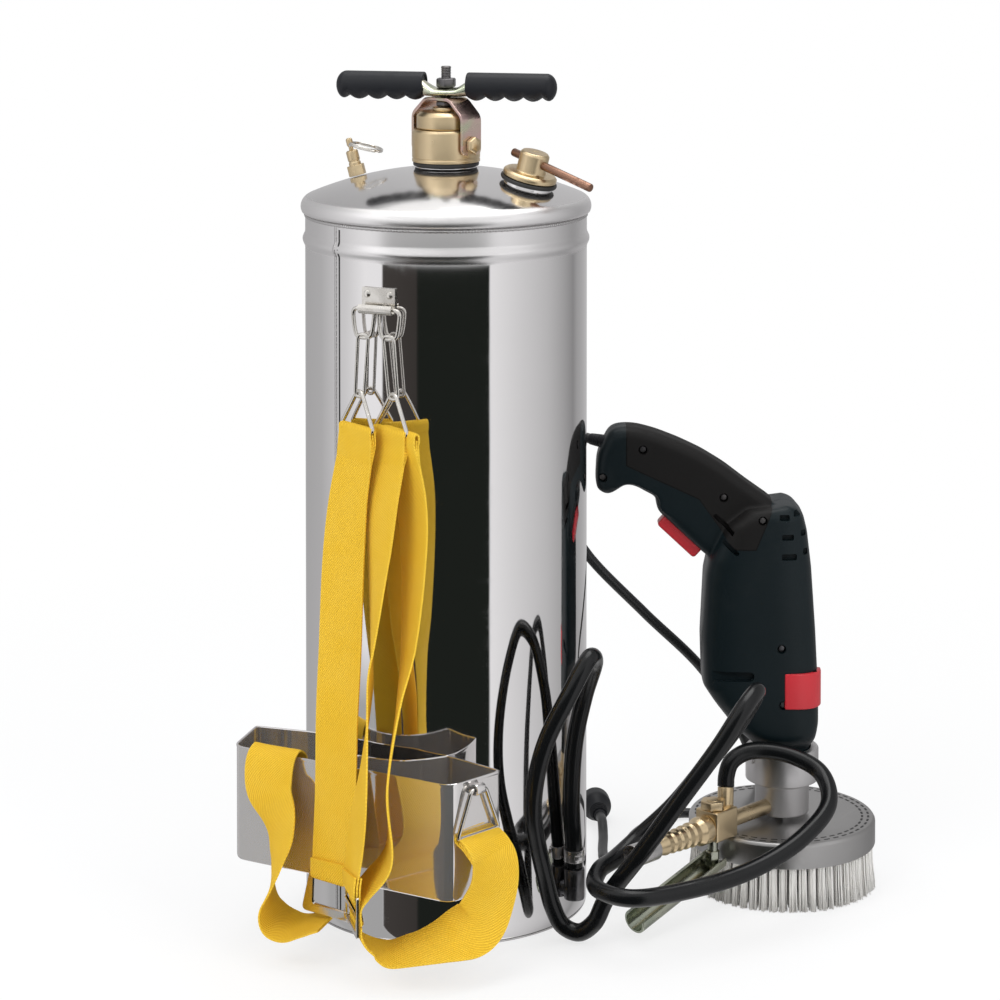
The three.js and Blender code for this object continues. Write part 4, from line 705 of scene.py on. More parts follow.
def addShell(name, mesh, shell, flat):
    shell.to_mesh(mesh)
    shell.free()
    mesh.polygons.foreach_set("use_smooth", [True] * len(mesh.polygons))
    if flat:
        mesh.set_sharp_from_angle(angle=math.radians(flat))
    piece = bpy.data.objects.new(name, mesh)
    bpy.context.collection.objects.link(piece)
    return piece


def nodeOf(name):
    # The CAD node that a piece is named after: the same words in small letters.
    return "".join("_" + letter.lower() if letter.isupper() else letter for letter in name)


def dress(piece, look, node, rides=None, blended=False):
    # A piece stands for its CAD node and rides with it, or only rides with another one.
    piece.data.materials.append(looks[look])
    if not blended:
        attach(piece, bodyOf[rides or node])
    if not rides:
        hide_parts(node)
    return piece


def addPiece(name, item, look, node=None, rides=None, uv=None, flat=30, merge=True, blended=False):
    return dress(addMesh(name, item, uv, flat, merge), look, node or nodeOf(name), rides, blended)


def closedLathe(profile, sides=64, soft=0.4):
    # A turned ring: its profile is a closed line with softened corners.
    return ringed(softLine(profile, soft, 2, True), sides)


def ringed(line, sides):
    points, faces = lathe(line, sides)
    a = np.arange(sides)
    b = (a + 1) % sides
    last = (len(line) - 1) * sides
    return points, faces + [np.stack([last + a, last + b, b, a], -1)]


def turnedSolid(profile, sides=64, soft=0.4, steps=2):
    # A turned body whose profile starts and ends on the axis.
    return lathe(softLine(profile, soft, steps), sides)


def addTurned(place, *rows):
    # Turned pieces: name, look, sides, softness of the corners, and the profile's radii and heights. A
    # profile that starts on the axis is a solid body, and any other one a ring.
    for name, look, sides, soft, profile in rows:
        make = closedLathe if profile[0][0] else turnedSolid
        addPiece(name, moved(make(profile, sides, soft), place), look)


def rodItem(start, end, radius, sides=24, soft=0.5):
    way = Vector(end) - Vector(start)
    line = [(0, 0), (radius, 0), (radius, way.length), (0, way.length)]
    return moved(turnedSolid(line, sides, soft), upTo(start, way))


tank = {"radius": 110, "bead": 520, "beadHalf": 6.5, "beadRise": 2, "sheet": 1.2, "lip": 113.5,
        "lipHeight": 545, "knuckle": 9, "dome": 279.5, "domeCentre": 295.5, "seam": -108.5, "joint": 110.1,
        "jointHeight": 538.4, "drops": 300, "filler": 73.3}


def domeFrame(reach, turn):
    height = tank["domeCentre"] + math.sqrt(tank["dome"] ** 2 - reach ** 2)
    return spin(turn) @ shift(reach, 0, height) @ Matrix.Rotation(math.asin(reach / tank["dome"]), 4, "Y")


def weldBead(path, out, width, rise, pitch, closed=False):
    # A weld's overlapping drops: height = rise (1 - (2x / width)^2)(0.6 + 0.4 |sin(pi s / pitch)|).
    wave = np.sin(pi * lengthsOf(path) / pitch)[:, None]
    across = np.cross(out, tangents(path, closed))[:, None]
    x = np.linspace(-0.5, 0.5, 7)
    bow = (1 - 4 * x ** 2) * (0.6 + 0.4 * np.abs(wave)) * rise
    top = path[:, None] + across * (x * width + 0.12 * wave)[..., None] + out[:, None] * bow[..., None]
    low = path[:, None] + across * (x[::-1] * width)[None, :, None] - out[:, None] * 0.4
    points = np.concatenate([top, low], 1)
    return grid(points, True, True) if closed else capped(points)


def addTank():
    z = np.concatenate([np.linspace(2.2, 500, 50), np.linspace(508, 529, 60), np.linspace(530, 540, 5)])
    bulge = np.clip((z - tank["bead"]) / tank["beadHalf"], -1, 1)
    radius = tank["radius"] + tank["beadRise"] * (0.5 + 0.5 * np.cos(pi * bulge))
    foot = [(108.9, 2.0), (109.3, 1.8), (109.7, 1.9)]
    wall = np.concatenate([foot, np.c_[radius, z], np.c_[radius - tank["sheet"], z][::-6]])
    addPiece("tankShell", ringed(wall, 256), "mirror", flat=0)
    height = np.linspace(8, 538, 1400)
    reach = np.interp(height, z, radius)
    # The second row is a thin dark strip beside the weld: painted shade in the seam's groove, not a part of the
    # tank.
    for name, turn, step, size, look in (("shellSeam", 0, 1, (3.0, 0.55, 2.4), "satin"),
                                         ("shellLap", 2.3, 8, (1.8, 0.12, 1e6), "seal")):
        angle = math.radians(tank["seam"] + turn)
        out = np.repeat([[math.cos(angle), math.sin(angle), 0]], len(height), 0)
        path = out * reach[:, None] + np.array([0, 0, 1.0]) * height[:, None]
        addPiece(name, weldBead(path[::step], out[::step], *size), look, rides="tank_shell", flat=0)
    angle = np.linspace(0, 2 * pi, 1920, endpoint=False)
    out = level(arcOf(1, angle), 0)
    path = out * tank["joint"] + (0, 0, tank["jointHeight"])
    weld = weldBead(path, out, 2.4, 0.8, 2 * pi * tank["joint"] / tank["drops"], True)
    addPiece("lipWeld", weld, "satin", rides="tank_shell", flat=0)


def addHead():
    edge = math.asin((tank["lip"] - tank["knuckle"]) / (tank["dome"] - tank["knuckle"]))
    angle = np.linspace(math.asin(24 / tank["dome"]), edge, 40)
    dome = arcOf(tank["dome"], pi / 2 - angle) + (0, tank["domeCentre"])
    bend = np.linspace(pi / 2 - edge, -0.25, 18)[1:]
    knuckle = arcOf(tank["knuckle"], bend) + (tank["lip"] - tank["knuckle"], tank["lipHeight"])
    fold = [(112.6, 541.2), (111.6, 540.5), (110.2, 540.4), (108.9, 540.8), (108.9, 543)]
    under = (dome - (0, tank["sheet"]))[::-3]
    neck = [(20.3, 573), (20.3, 575.5), (20.8, 576), (23.5, 576), (24, 575.5), (24, 575)]
    line = np.concatenate([neck, dome[1:], knuckle, fold, under, [(20.3, 558)]])
    fillerNeck = closedLathe([(15.3, -12), (19, -12), (19, 1.5), (15.3, 1.5)], 48)
    addPiece("topHead", joined(ringed(line, 192), moved(fillerNeck, domeFrame(tank["filler"], 0))), "dome",
             flat=50)


def addBase():
    line = [(0, 0), (109.7, 0), (109.7, 1.5), (108.5, 1.5), (108.5, 14), (107.3, 14), (107.3, 1.6), (0, 1.6)]
    addTurned(Matrix(), ("basePan", "satin", 192, 0.35, line))


addTank()
addHead()
addBase()
print("tank built")


yokeFrame, handleFrame = spin(-17), spin(18)
pump = {"pins": 594.1, "bar": 629.7, "rodTop": 653.6, "span": 88,
        "gripRadius": 11, "pitch": 15, "valley": 3.6, "boss": 7.5, "flat": 3.6, "lean": 0.18}


def hexHead(across, height):
    # A hexagon's rings, the last ones drawn in and lifted like a cap.
    turn = np.linspace(0.25, pi / 2 * 0.97, 7)
    rows = [(1, 0), (1, 0.62)] + list(zip(np.cos(turn), 0.62 + 0.38 * np.sin(turn)))
    return capped(np.stack([level(hexagon(across, 0.5) * share, height * z) for share, z in rows]))


def nutItem(across, foot, top, bore):
    # A chamfered hexagon nut with a round bore: its outline drawn in at both faces.
    outline = hexagon(across, 0.5)
    angle = np.arctan2(outline[:, 1], outline[:, 0])
    reach = np.linalg.norm(outline, axis=1)
    trim = lambda share: outline * np.minimum(1, share * across / 2 / reach)[:, None]
    half = [(arcOf(bore, angle), 0), (arcOf(bore + 1, angle), 0), (trim(1.0), 0), (trim(1.09), 0.6),
            (outline, 1.1)]
    rings = [level(ring, foot + z) for ring, z in half] + [level(ring, top - z) for ring, z in half[::-1]]
    return grid(np.stack(rings), True, True)


def addPumpHead():
    addTurned(
        Matrix(),
        ("pumpGasket", "seal", 96, 0.4, [(20.6, 576.3), (25.6, 576.3), (25.9, 577.6), (25.6, 579),
                                         (20.6, 579)]),
        ("pumpCollar", "brass", 128, 0.5, [
            (8.5, 569.6), (19.9, 569.6), (19.9, 579.3), (26.6, 579.3), (26.6, 581.5), (26.2, 581.8),
            (26.2, 582.4), (26.6, 582.7), (26.6, 602.6), (25.4, 604.6), (8.5, 604.6)]),
        ("glandRing", "brass", 128, 0.5, [(8.5, 604.9), (22.2, 604.9), (23, 605.7), (23, 615.4), (20, 618.4),
                                          (12, 618.4), (10.9, 617.6), (8.5, 617.6)]),
        ("glandNut", "brass", 64, 0.4, [(4.5, 618.7), (10.5, 618.7), (10.5, 621.2), (10, 621.7),
                                        (4.5, 621.7)]))
    pins = pump["pins"]
    for name, side in (("pumpPinLeft", -1), ("pumpPinRight", 1)):
        shank = rodItem((side * 14, 0, pins), (side * 31.4, 0, pins), 4)
        head = moved(hexHead(11.6, 5.4), upTo((side * 30.3, 0, pins), (side, 0, 0)))
        addPiece(name, moved(joined(shank, head), yokeFrame), "brass", flat=35)


def addPumpRod():
    # The thread is a V groove that climbs one pitch a turn: a triangle wave of z / pitch - angle / 2 pi.
    low, high, pitch, depth = 612, pump["rodTop"] - 0.6, 1.25, 0.55
    height = np.linspace(low, high, int((high - low) / pitch * 10))
    profile = np.concatenate([[(0, 120.3), (3.6, 120.3), (4, 120.7), (4, 611)],
                              np.c_[np.full(len(height), 4), height],
                              [(3.3, pump["rodTop"]), (0, pump["rodTop"])]])

    def groove(angle, z):
        fade = np.clip((z - low) / pitch, 0, 1) * np.clip((high - z) / pitch, 0, 1)
        return -depth * (1 - np.abs(2 * ((z / pitch - angle / (2 * pi)) % 1) - 1)) * fade

    addPiece("pumpRod", moved(lathe(profile, 28, groove), handleFrame), "blackSteel", flat=50)
    for name, foot, top in (("lockNut", 622.2, 626.6), ("topNut", 637.2, 644.2)):
        addPiece(name, moved(nutItem(14, foot, top, 3.8), handleFrame), "blackSteel", flat=25)


def addHandle():
    # A flattened bar, thin and wide under the nuts and round in the grips: half height and half width.
    half = np.array([(0, 3.6, 11.9), (9, 3.6, 11.5), (14, 5, 9.6), (19, 6.6, 8.2), (25, 7.5, 7.5),
                     (84, 7.5, 7.5)])
    half = np.concatenate([half[::-1] * (-1, 1, 1), half[1:]])
    x = np.concatenate([np.linspace(-84, -26, 8), np.linspace(-25, 25, 80), np.linspace(26, 84, 8)])
    size = np.stack([np.interp(x, half[:, 0], half[:, k]) for k in (1, 2)], 1)
    size[8:-8] = slowly(size[8:-8], 3)
    circle = oval(1, 1, 40)
    rise = pump["bar"] + size[:, :1] + (size[:, :1] - pump["flat"]) * pump["lean"]
    bar = capped(acrossX(x, circle[:, 0] * size[:, 1:], rise + circle[:, 1] * size[:, :1]))
    addPiece("handleBar", moved(bar, handleFrame), "zinc")


def gripItem(side):
    # Sections along x: the underside dips by valley (1 - |sin(pi x / pitch)|^0.8), and the nose is round.
    x = np.concatenate([[18.5, 17.6, 17.05], np.linspace(17.3, 88, 150)])
    left = (pump["span"] - x) / 8
    nose = np.where(left < 1, np.sqrt(np.clip(1 - (1 - left) ** 2 * 0.97, 0, 1)), 1)
    nose[:3] = 0.79, 0.82, 0.88
    start = np.clip((x - 17) / 1.6, 0, 1)
    nose[3:] *= (0.93 + 0.07 * np.sqrt(1 - (1 - start) ** 2))[3:]
    lobe = np.abs(np.sin(pi * (x - 17) / pump["pitch"])) ** 0.8
    down = pump["gripRadius"] - pump["valley"] * (1 - lobe)
    c, s = oval(1, 1, 48, 2.2).T
    z = np.where(s > 0, s * pump["gripRadius"], s * down[:, None]) * nose[:, None]
    axis = pump["bar"] + pump["boss"] + (pump["boss"] - pump["flat"]) * pump["lean"]
    return capped(acrossX(side * x, c * pump["gripRadius"] * nose[:, None], z + axis))


def addGrips():
    for name, side in (("gripLeft", -1), ("gripRight", 1)):
        addPiece(name, moved(gripItem(side), handleFrame), "rubber", flat=40)


def addYoke():
    # A strip bent over the head; below the pins each leg is a fork around its pin.
    outer, foot = 28.6, pump["pins"] - 8
    line = [(-outer, foot), (-outer, 615.5), (-13.5, 628.2), (13.5, 628.2), (outer, 615.5), (outer, foot)]
    path = evenly(softLine(line, [0.1, 4, 4, 4, 4, 0.1], 8), 220)
    z = path[:, 1]
    slot = np.where(z < pump["pins"], 4.3, np.sqrt(np.clip(4.3 ** 2 - (z - pump["pins"]) ** 2, 0, None)))
    slot = np.maximum(slot, 0.02)
    corner = np.clip((z - foot) / 5, 0, 1)
    edge = 10 - 3.5 * (1 - np.sqrt(1 - (1 - corner) ** 2))
    normal = tangents(path) @ [[0, 1], [-1, 0]]
    across = np.stack([slot, slot, edge - 0.4, edge, edge, edge - 0.4], 1)
    thick = np.array([-1.25, 1.25, 1.25, 0.85, -0.85, -1.25])
    xz = path[:, None] + normal[:, None] * thick[None, :, None]
    halves = [capped(np.stack([xz[..., 0], across * side, xz[..., 1]], -1)) for side in (-1, 1)]
    addPiece("yoke", moved(joined(*halves), yokeFrame), "pinkZinc", flat=35)


addPumpHead()
addPumpRod()
addHandle()
addGrips()
addYoke()
print("pump built")


def addFiller():
    place = domeFrame(tank["filler"], 0)
    addTurned(
        place,
        ("fillerGasket", "seal", 96, 0.4, [(15.7, 1.8), (21.6, 1.8), (22.2, 3.4), (21.6, 5), (15.7, 5)]),
        ("fillerCap", "brass", 112, 0.5, [
            (0, -7), (14.9, -7), (14.9, 5.3), (20.4, 5.3), (21, 5.9), (21, 8.6), (19, 10.3), (12.3, 10.3),
            (11.5, 11), (11.5, 24.4), (10, 26.3), (3, 26.3), (2.2, 25.9), (0, 25.9)]))
    bar = rodItem((-22, 0, 18.8), (62, 0, 18.8), 3.25, 32, 0.8)
    addPiece("tommyBar", moved(bar, place @ spin(-14)), "bronze")


def addRelief():
    place = domeFrame(71, 198)
    tower = turnedSolid([(0, 2), (4.8, 2), (4.8, 11), (4.3, 11.6), (4.3, 12.4), (4.8, 13), (4.8, 20),
                         (3.8, 21), (0, 21)], 48)
    addPiece("reliefBody", moved(joined(slab(hexagon(12.5), 0.7, 9, 0.5), tower), place), "brass")
    # A flat dark disc stands for the port: its black is painted shade inside the hole.
    port = turnedSolid([(0, 0), (1.4, 0), (1.4, 0.12), (0, 0.12)], 20, 0.05)
    addPiece("reliefPort", moved(port, place @ upTo((0, -4.75, 16), (0, -1, 0))), "seal",
             rides="relief_body")
    stem = [(0, 20), (1.8, 20), (1.8, 24), (2.6, 25), (2.6, 29.6), (1.6, 30.8), (0, 30.8)]
    addTurned(place, ("reliefStem", "brass", 32, 0.4, stem))
    turns = np.linspace(0, 4 * pi, 200)
    ring = np.c_[(turns / (4 * pi) - 0.5) * 2.1, arcOf(13.1, turns + 0.6)[:, ::-1] - (0, 13.5)]
    addPiece("pullRing", moved(carried(ring, oval(0.82, 0.82, 10)), place @ shift(0, 0, 27) @ spin(62, "Y")),
             "wire")


addFiller()
addRelief()


hangerFrame = spin(4)


def addHanger():
    # A welded plate whose lower edge is rolled forward round the D-rings.
    turn = np.linspace(-0.5 * pi, 1.28 * pi, 30)[8:]
    rolled = arcOf(4.2, -turn) + (-114.5, 479.5)
    profile = np.concatenate([[(-110.4, 495), (-110.4, 488), (-110.4, 481)], rolled])
    normal = tangents(profile) @ [[0, 1], [-1, 0]]
    y, z = np.concatenate([profile, (profile - normal * 1.3)[::-1]]).T
    spot = turnedSolid([(0, -0.3), (3, -0.3), (2.4, 0.5), (0, 0.9)], 24)
    spots = [moved(spot, upTo((x, -112, 490), (0, -1, 0))) for x in (-9.5, 9.5)]
    plate = capped(acrossX(np.linspace(-14, 14, 29), y, z))
    addPiece("strapHanger", moved(joined(plate, *spots), hangerFrame), "wire")


def addHookChain(name, x, lean):
    # A D-ring in the hanger's eye, a long hook of doubled wire, and a triangle that holds the webbing.
    top, drop, depth = 479.5, 90, 114.8
    at = lambda share: top - share * drop
    hanging = lambda points, back, slope: np.array([(x + px, -depth - back - (top - pz) * slope, pz)
                                                    for px, pz in points])
    dRing = hanging([(-9.5, at(0)), (9.5, at(0)), (8, at(0.16)), (6, at(0.245)), (-6, at(0.245)),
                     (-8, at(0.16))], 0, 0)
    hook = hanging([(-4.4, at(0.217)), (4.4, at(0.217)), (3.8 + lean, at(0.739)), (-3.8 + lean, at(0.739))],
                   0.5, 0.02)
    way = np.array([math.cos(math.radians(-26)), math.sin(math.radians(-26)), 0])
    corner = lambda reach, z: np.array([x + lean, -depth - 2 - (at(0.694) - z) * 0.14, z]) + way * reach
    triangle = np.array([corner(-2.6, at(0.694)), corner(2.6, at(0.694)), corner(21, at(1)),
                         corner(-21, at(1))])
    item = joined(wire(dRing, 1.6, 160, 5.5), wire(hook, 1.36, 160, 4.2), wire(triangle, 1.6, 220, 3.2))
    addPiece(name, moved(item, hangerFrame), "wire", flat=0)


panelFront = np.array([96.8, -149.0, 0])
panelBack = np.array([109.0, -105.0, 0])
panelWay = unit(panelBack - panelFront)
panelOut = np.array([panelWay[1], -panelWay[0], 0])
rightEye = (panelFront + panelWay * 20 + panelOut * 3.8 + (0, 0, 138), panelWay)
leftEye = (np.array([-56, -153.6 + 1.2 + 3.8, 138]), np.array([1.0, 0, 0]))


def addTrayRing(name, eye):
    centre, along = eye
    corner = lambda way, fall: centre + along * way - (0, 0, fall)
    points = np.array([corner(-7, 0), corner(7, 0), corner(21, 33), corner(-21, 33)])
    addPiece(name, wire(points, 1.6, 220, 3.5), "wire", flat=0)


def windowFrame(outer, inner, thickness, edge=0.5):
    # A flat frame between two closed outlines of equal counts, with rounded rims; x, then height.
    half = thickness / 2
    rings = [(insetLine(outer, edge), -half), (outer, edge - half), (outer, half - edge),
             (insetLine(outer, edge), half), (insetLine(inner, -edge), half), (inner, half - edge),
             (inner, edge - half), (insetLine(inner, -edge), -half)]
    return grid(np.stack([level(ring, y)[:, [0, 2, 1]] for ring, y in rings]), True, True)


def addStrapRings():
    outer = softLine([(-31, 36), (31, 36), (22, 70), (-22, 70)], 5, 5, True)
    inner = softLine([(-19, 43.5), (19, 43.5), (18, 64), (-18, 64)], 2, 5, True)
    item = moved(windowFrame(outer, inner, 2.8, 0.9), shift(4, -168.5, 0) @ spin(-8))
    addPiece("strapRing", item, "wire")
    windows = []
    for low, high, thickness in ((41, 58, 2.3), (54, 71, 2.4)):
        outer, inner = oblong(-24, low, 24, high, 2.5, 4), oblong(-20, low + 4, 20, high - 4, 1, 4)
        windows.append(windowFrame(outer, inner, thickness))
    addPiece("strapAdjuster", moved(joined(*windows), shift(33.9, -189.9, 0) @ spin(-46)), "wire",
             merge=False)


addHanger()
addHookChain("hookChainLeft", -10.7, -2.6)
addHookChain("hookChainRight", 10.7, 4.8)
addTrayRing("trayRingRight", rightEye)
addTrayRing("trayRingLeft", leftEye)
addStrapRings()
print("fittings built")


tray = {"floor": 58, "rim": 145}


def trayOutline():
    right = [(95.6, -153.6), (109, -105), (106, -103.5), (65.2, -94.8), (57.2, -94), (49, -106),
             (36, -119.5), (18, -125)]
    corners = np.array(right + [(0, -126.5)] + [(-x, y) for x, y in right[::-1]])
    return softLine(corners, [10, 2, 2, 4, 1.5, 5, 5, 6, 8, 6, 5, 5, 1.5, 4, 2, 2, 10], 7, True)[::-1]


def addTray():
    outline = anticlockwise(trayOutline())
    low, high = tray["floor"], tray["rim"]
    rows = [(2.2, low), (1.0, low + 0.35), (0.3, low + 1.2), (0, low + 2.6), (0, high - 3),
            (-0.1, high - 2.2), (-0.35, high - 1.2), (-0.3, high - 0.3), (0.2, high), (0.9, high - 0.1),
            (1.3, high - 0.7), (1.3, high - 3), (1.3, low + 3), (1.7, low + 1.7), (2.8, low + 1.2)]
    wall = capped(np.stack([level(insetLine(outline, inward), z) for inward, z in rows]))
    eye = closedLathe([(2.4, 0), (4.2, 0), (4.2, 9), (2.4, 9)], 32)
    eyes = [moved(eye, upTo(centre - along * 4.5, along)) for centre, along in (rightEye, leftEye)]
    addPiece("hipTray", joined(wall, *eyes), "panel", flat=25)
    # A flat dark disc stands for a hole in the wall: its black is painted shade inside the hole.
    hole = turnedSolid([(0, 0), (4, 0), (4.5, 0.25), (4.0, 0.35), (0, 0.3)], 32, 0.05)
    addPiece("trayHole", moved(hole, upTo((-66, -153.5, 103), (0, -1, 0))), "seal", rides="hip_tray")


addTray()
print("tray built")


# Stations along each strap: x, distance out from the shell's front, height, turn and pitch of its width.
strapStations = {
    "strapLeft": [
        (-4.9, 11.3, 387.6, -22, 0), (-4.9, 11.3, 381.6, -22, 0), (-10, 16, 335, -12, 0),
        (-11, 21, 291, -6, 0), (-7, 32, 226, -6, 0), (-2, 44, 178, -8, 0), (2, 52, 122, -9, 0),
        (4, 58.5, 77, -8, 0), (4, 58.5, 70.3, -8, 0)],
    "strapRightFront": [
        (23.9, 9.3, 387.6, -22, 0), (23.9, 9.3, 381.6, -22, 0), (23, 20, 339, -24, 0), (23, 26, 295, -32, 0),
        (24, 36, 231, -62, 0), (28, 47, 196, -70, 0), (36.5, 70, 141, -44, 0), (34, 75, 100, -40, 0),
        (33.9, 79.9, 78, -46, 0), (33.9, 79.9, 71.3, -46, 0)],
    "strapRightBack": [
        (33.2, 10.5, 387.6, -22, 0), (33.2, 10.5, 381.6, -22, 0), (42, 10, 340, -24, 0),
        (47, 15, 296, -30, 0), (50, 28, 231, -48, 0), (52, 44, 196, -60, 0), (56, 66, 143, -62, 0),
        (60, 71, 95, -50, 0), (44, 75.2, 72, -46, 0), (38.1, 80.4, 62, -46, 0), (38.1, 80.4, 50, -46, 0)],
    "loopLeft": [
        (-56, 35.2, 103.5, 0, 0), (-56, 32.6, 125, 0, 0), (-56, 33.5, 142, 2, 0), (-56, 42, 148.8, 4, 0),
        (-57, 50, 143, 6, 0), (-55.5, 55, 122, 8, 0), (-47, 55.6, 104, -16, 0), (-43, 57.9, 88, -32, 0),
        (-43.4, 62.9, 72, -46, 0), (-45.6, 66.5, 53, -60, 0), (-45.5, 68.4, 39, -78, 0),
        (-39.4, 67.5, 28.5, -94, -6), (-28.3, 64.5, 25, -98, -12), (-14.4, 60.5, 28, -98, -12),
        (-1, 58, 32.2, -98, -6)],
    "loopRight": [
        (106.6, 21, 102.6, 74.5, 0), (112, 22.5, 99.8, 74.5, 0), (119.5, 22, 90, 68, 0),
        (121, 22.5, 74, 62, -4), (118, 26.5, 58, 54, -8), (112.5, 34.3, 43, 36, -14), (100, 45, 36, 6, -14),
        (86, 55.3, 30.5, -34, -11), (71, 63, 26, -50, -9), (57.5, 67, 23.5, -54, -8),
        (47.8, 71.2, 26.5, -50, 0), (41.2, 77.4, 33.5, -46, 0), (38.1, 80.4, 42, -46, 0),
        (38.1, 80.4, 48.6, -46, 0)],
}
ribbon = {"half": 20, "thick": 0.96, "columns": 15, "samples": 420, "lift": 2.1}


def stripOf(path, normal, across, along):
    # A closed strip: columns across its width over and under the path, drawn in at both selvages.
    x = np.linspace(-1, 1, ribbon["columns"])
    edge = 1 - 0.35 * np.abs(x) ** 12
    over = np.concatenate([x, x[::-1]]) * ribbon["half"]
    side = np.concatenate([edge, -edge[::-1]])[:, None] * ribbon["thick"]
    points = path[:, None] + across[:, None] * over[:, None] + normal[:, None] * side
    uv = np.stack(np.broadcast_arrays(over, along[:, None]), -1).reshape(-1, 2) * 0.001
    return capped(points), uv


def strapFrames(stations, samples):
    # The route's frames: turn and pitch, eased between stations, aim the strap's width.
    data = np.array(stations, float)
    path = curveThrough(data[:, :3] * (1, -1, 1) - (0, tank["radius"], 0), samples)
    t = np.linspace(0, len(data) - 1, samples)
    aim = np.radians(np.stack([np.interp(t, np.arange(len(data)), data[:, k]) for k in (3, 4)], 1))
    turn, pitch = slowly(aim, samples // len(data)).T
    wanted = np.stack([np.cos(turn) * np.cos(pitch), np.sin(turn) * np.cos(pitch), np.sin(pitch)], 1)
    tangent = unit(slowly(np.gradient(path, axis=0), samples // 40))
    normal = unit(np.cross(tangent, wanted))
    return path, normal, np.cross(normal, tangent), lengthsOf(path)


def foldOf(route, atStart, past, deep, reach):
    # The webbing's end, turned back round its bar: up one face, round the bar, and down the other.
    path, normal, across, along = (part[::-1] if atStart else part for part in route)
    away = abs(along - along[-1])
    near = away < reach
    path, normal, across, away = path[near], normal[near], across[near], away[near]
    way = unit(path[-1] - path[-2])
    lift = ribbon["lift"]
    turn = np.linspace(pi / 2, -pi / 2, 15)[:, None]
    arc = path[-1] + way * past + normal[-1] * (lift * np.sin(turn)) + way * (deep * np.cos(turn))
    rise = lift if reach < 15 else (lift * np.sin(np.clip((reach - away) / reach, 0, 1) * pi / 2))[:, None]
    line = np.concatenate([path + normal * rise, arc, (path - normal * rise)[::-1]])
    side = np.concatenate([across, np.repeat(across[-1:], len(turn), 0), across[::-1]])
    return stripOf(line, unit(np.cross(side, tangents(line))), side, lengthsOf(line) + 5)


def addStrap(name, held, *folds):
    samples = ribbon["samples"]
    route = strapFrames(strapStations[name], samples)
    items, maps = zip(stripOf(*route), *[foldOf(route, *fold) for fold in folds])
    piece = addPiece(name, joined(*items), "webbing", uv=np.concatenate(maps), flat=50, merge=False,
                     blended=True)
    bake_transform(piece)


addStrap("strapLeft", "hook_chain_left", (True, 1.9, 2.7, 22), (False, 3.3, 4.6, 8))
addStrap("strapRightFront", "hook_chain_right", (True, 1.9, 2.7, 22), (False, 2.3, 3.4, 10))
addStrap("strapRightBack", "hook_chain_right", (True, 1.9, 2.7, 22))
addStrap("loopLeft", "tray_ring_left", (True, 1.9, 2.7, 22))
addStrap("loopRight", "tray_ring_right", (True, 1.9, 2.7, 16))
print("straps built")


hoseRoute = np.array([
    (117.8, -6.2, 44.5), (118, -7, 57), (118.5, -12, 97), (123, -15, 144), (133, -18, 182), (148, -30, 213),
    (154, -50, 221), (147, -68, 197), (134, -78, 165), (126, -80, 136), (121, -76, 109), (119, -66, 81),
    (119, -54, 51), (121, -46, 27), (127, -41, 12), (139, -38, 8), (151, -36, 17), (161, -35, 37),
    (189, -34, 75), (218, -27, 118), (243, -12, 158), (257, 4, 187), (257, 24, 193), (241, 38, 170),
    (208, 42, 126), (181, 34, 90), (160, 18, 67), (153, -7, 57), (152, -30, 55), (163, -54, 51),
    (190, -56, 49), (222, -22, 50), (254, 26, 57), (275, 70, 72), (280, 106, 89), (264, 126, 104),
    (242, 126, 113), (222, 121, 116), (207, 112, 115), (198, 103.5, 108), (195.6, 100, 98),
    (196, 98, 90)], float)
cordRoute = np.array([
    (77.8, 94.8, 352), (69, 97.2, 352), (58, 104.5, 346), (47, 114, 326), (41, 122, 300), (44, 124, 272),
    (61, 121, 251), (99, 147, 203), (138, 174, 156), (157, 207, 100), (167, 231, 45), (172, 252, 10),
    (152, 273, 4.5), (120, 272, 4.5), (97, 262, 4.5), (77, 250, 4.5), (71, 224, 4.5), (70, 190, 4.5),
    (76, 167, 4.5), (90, 150, 4.5), (97, 133, 4.5), (91, 119, 4.5), (78, 120, 4.5), (67, 136, 4.5),
    (53, 163, 7), (43, 180, 12.8), (36, 190, 12.8)],
    float)


def pathOf(line, step):
    # A cord's centre line in metres, thinned out, with its last point.
    return [tuple(point) for point in (np.concatenate([line[::step], line[-1:]]) * 0.001).tolist()]


def addHose():
    line = evenly(curveThrough(hoseRoute, 4000), 900)
    hose = addPiece("hoseLine", carried(line, oval(6.6, 6.6, 24)), "hose", "hose", flat=0)
    pathOf(line, 15)
    elbow = joined(rodItem((104, -5.5, 28), (118, -6.2, 28), 6.6),
                   rodItem((112.2, -5.9, 28), (118, -6.2, 28), 8, 32, 1.5),
                   rodItem((117.8, -6.2, 20), (117.8, -6.2, 44), 8, 40, 1.5))
    addPiece("outletElbow", elbow, "blackSteel")
    band = closedLathe([(6.7, 0), (8.1, 0), (8.1, 9), (6.7, 9)], 48, 0.5)
    ear = slab(oblong(-3, -2, 3, 2, 0.8, 2), 7.6, 10.2, 0.5, 2)
    clamp = joined(band, moved(ear, upTo((0, 0, 4.5), (0.5, -0.866, 0))))
    addPiece("hoseClamp", moved(clamp, upTo((117.9, -6.5, 50), (0.02, -0.06, 1))), "satin",
             rides="outlet_elbow")


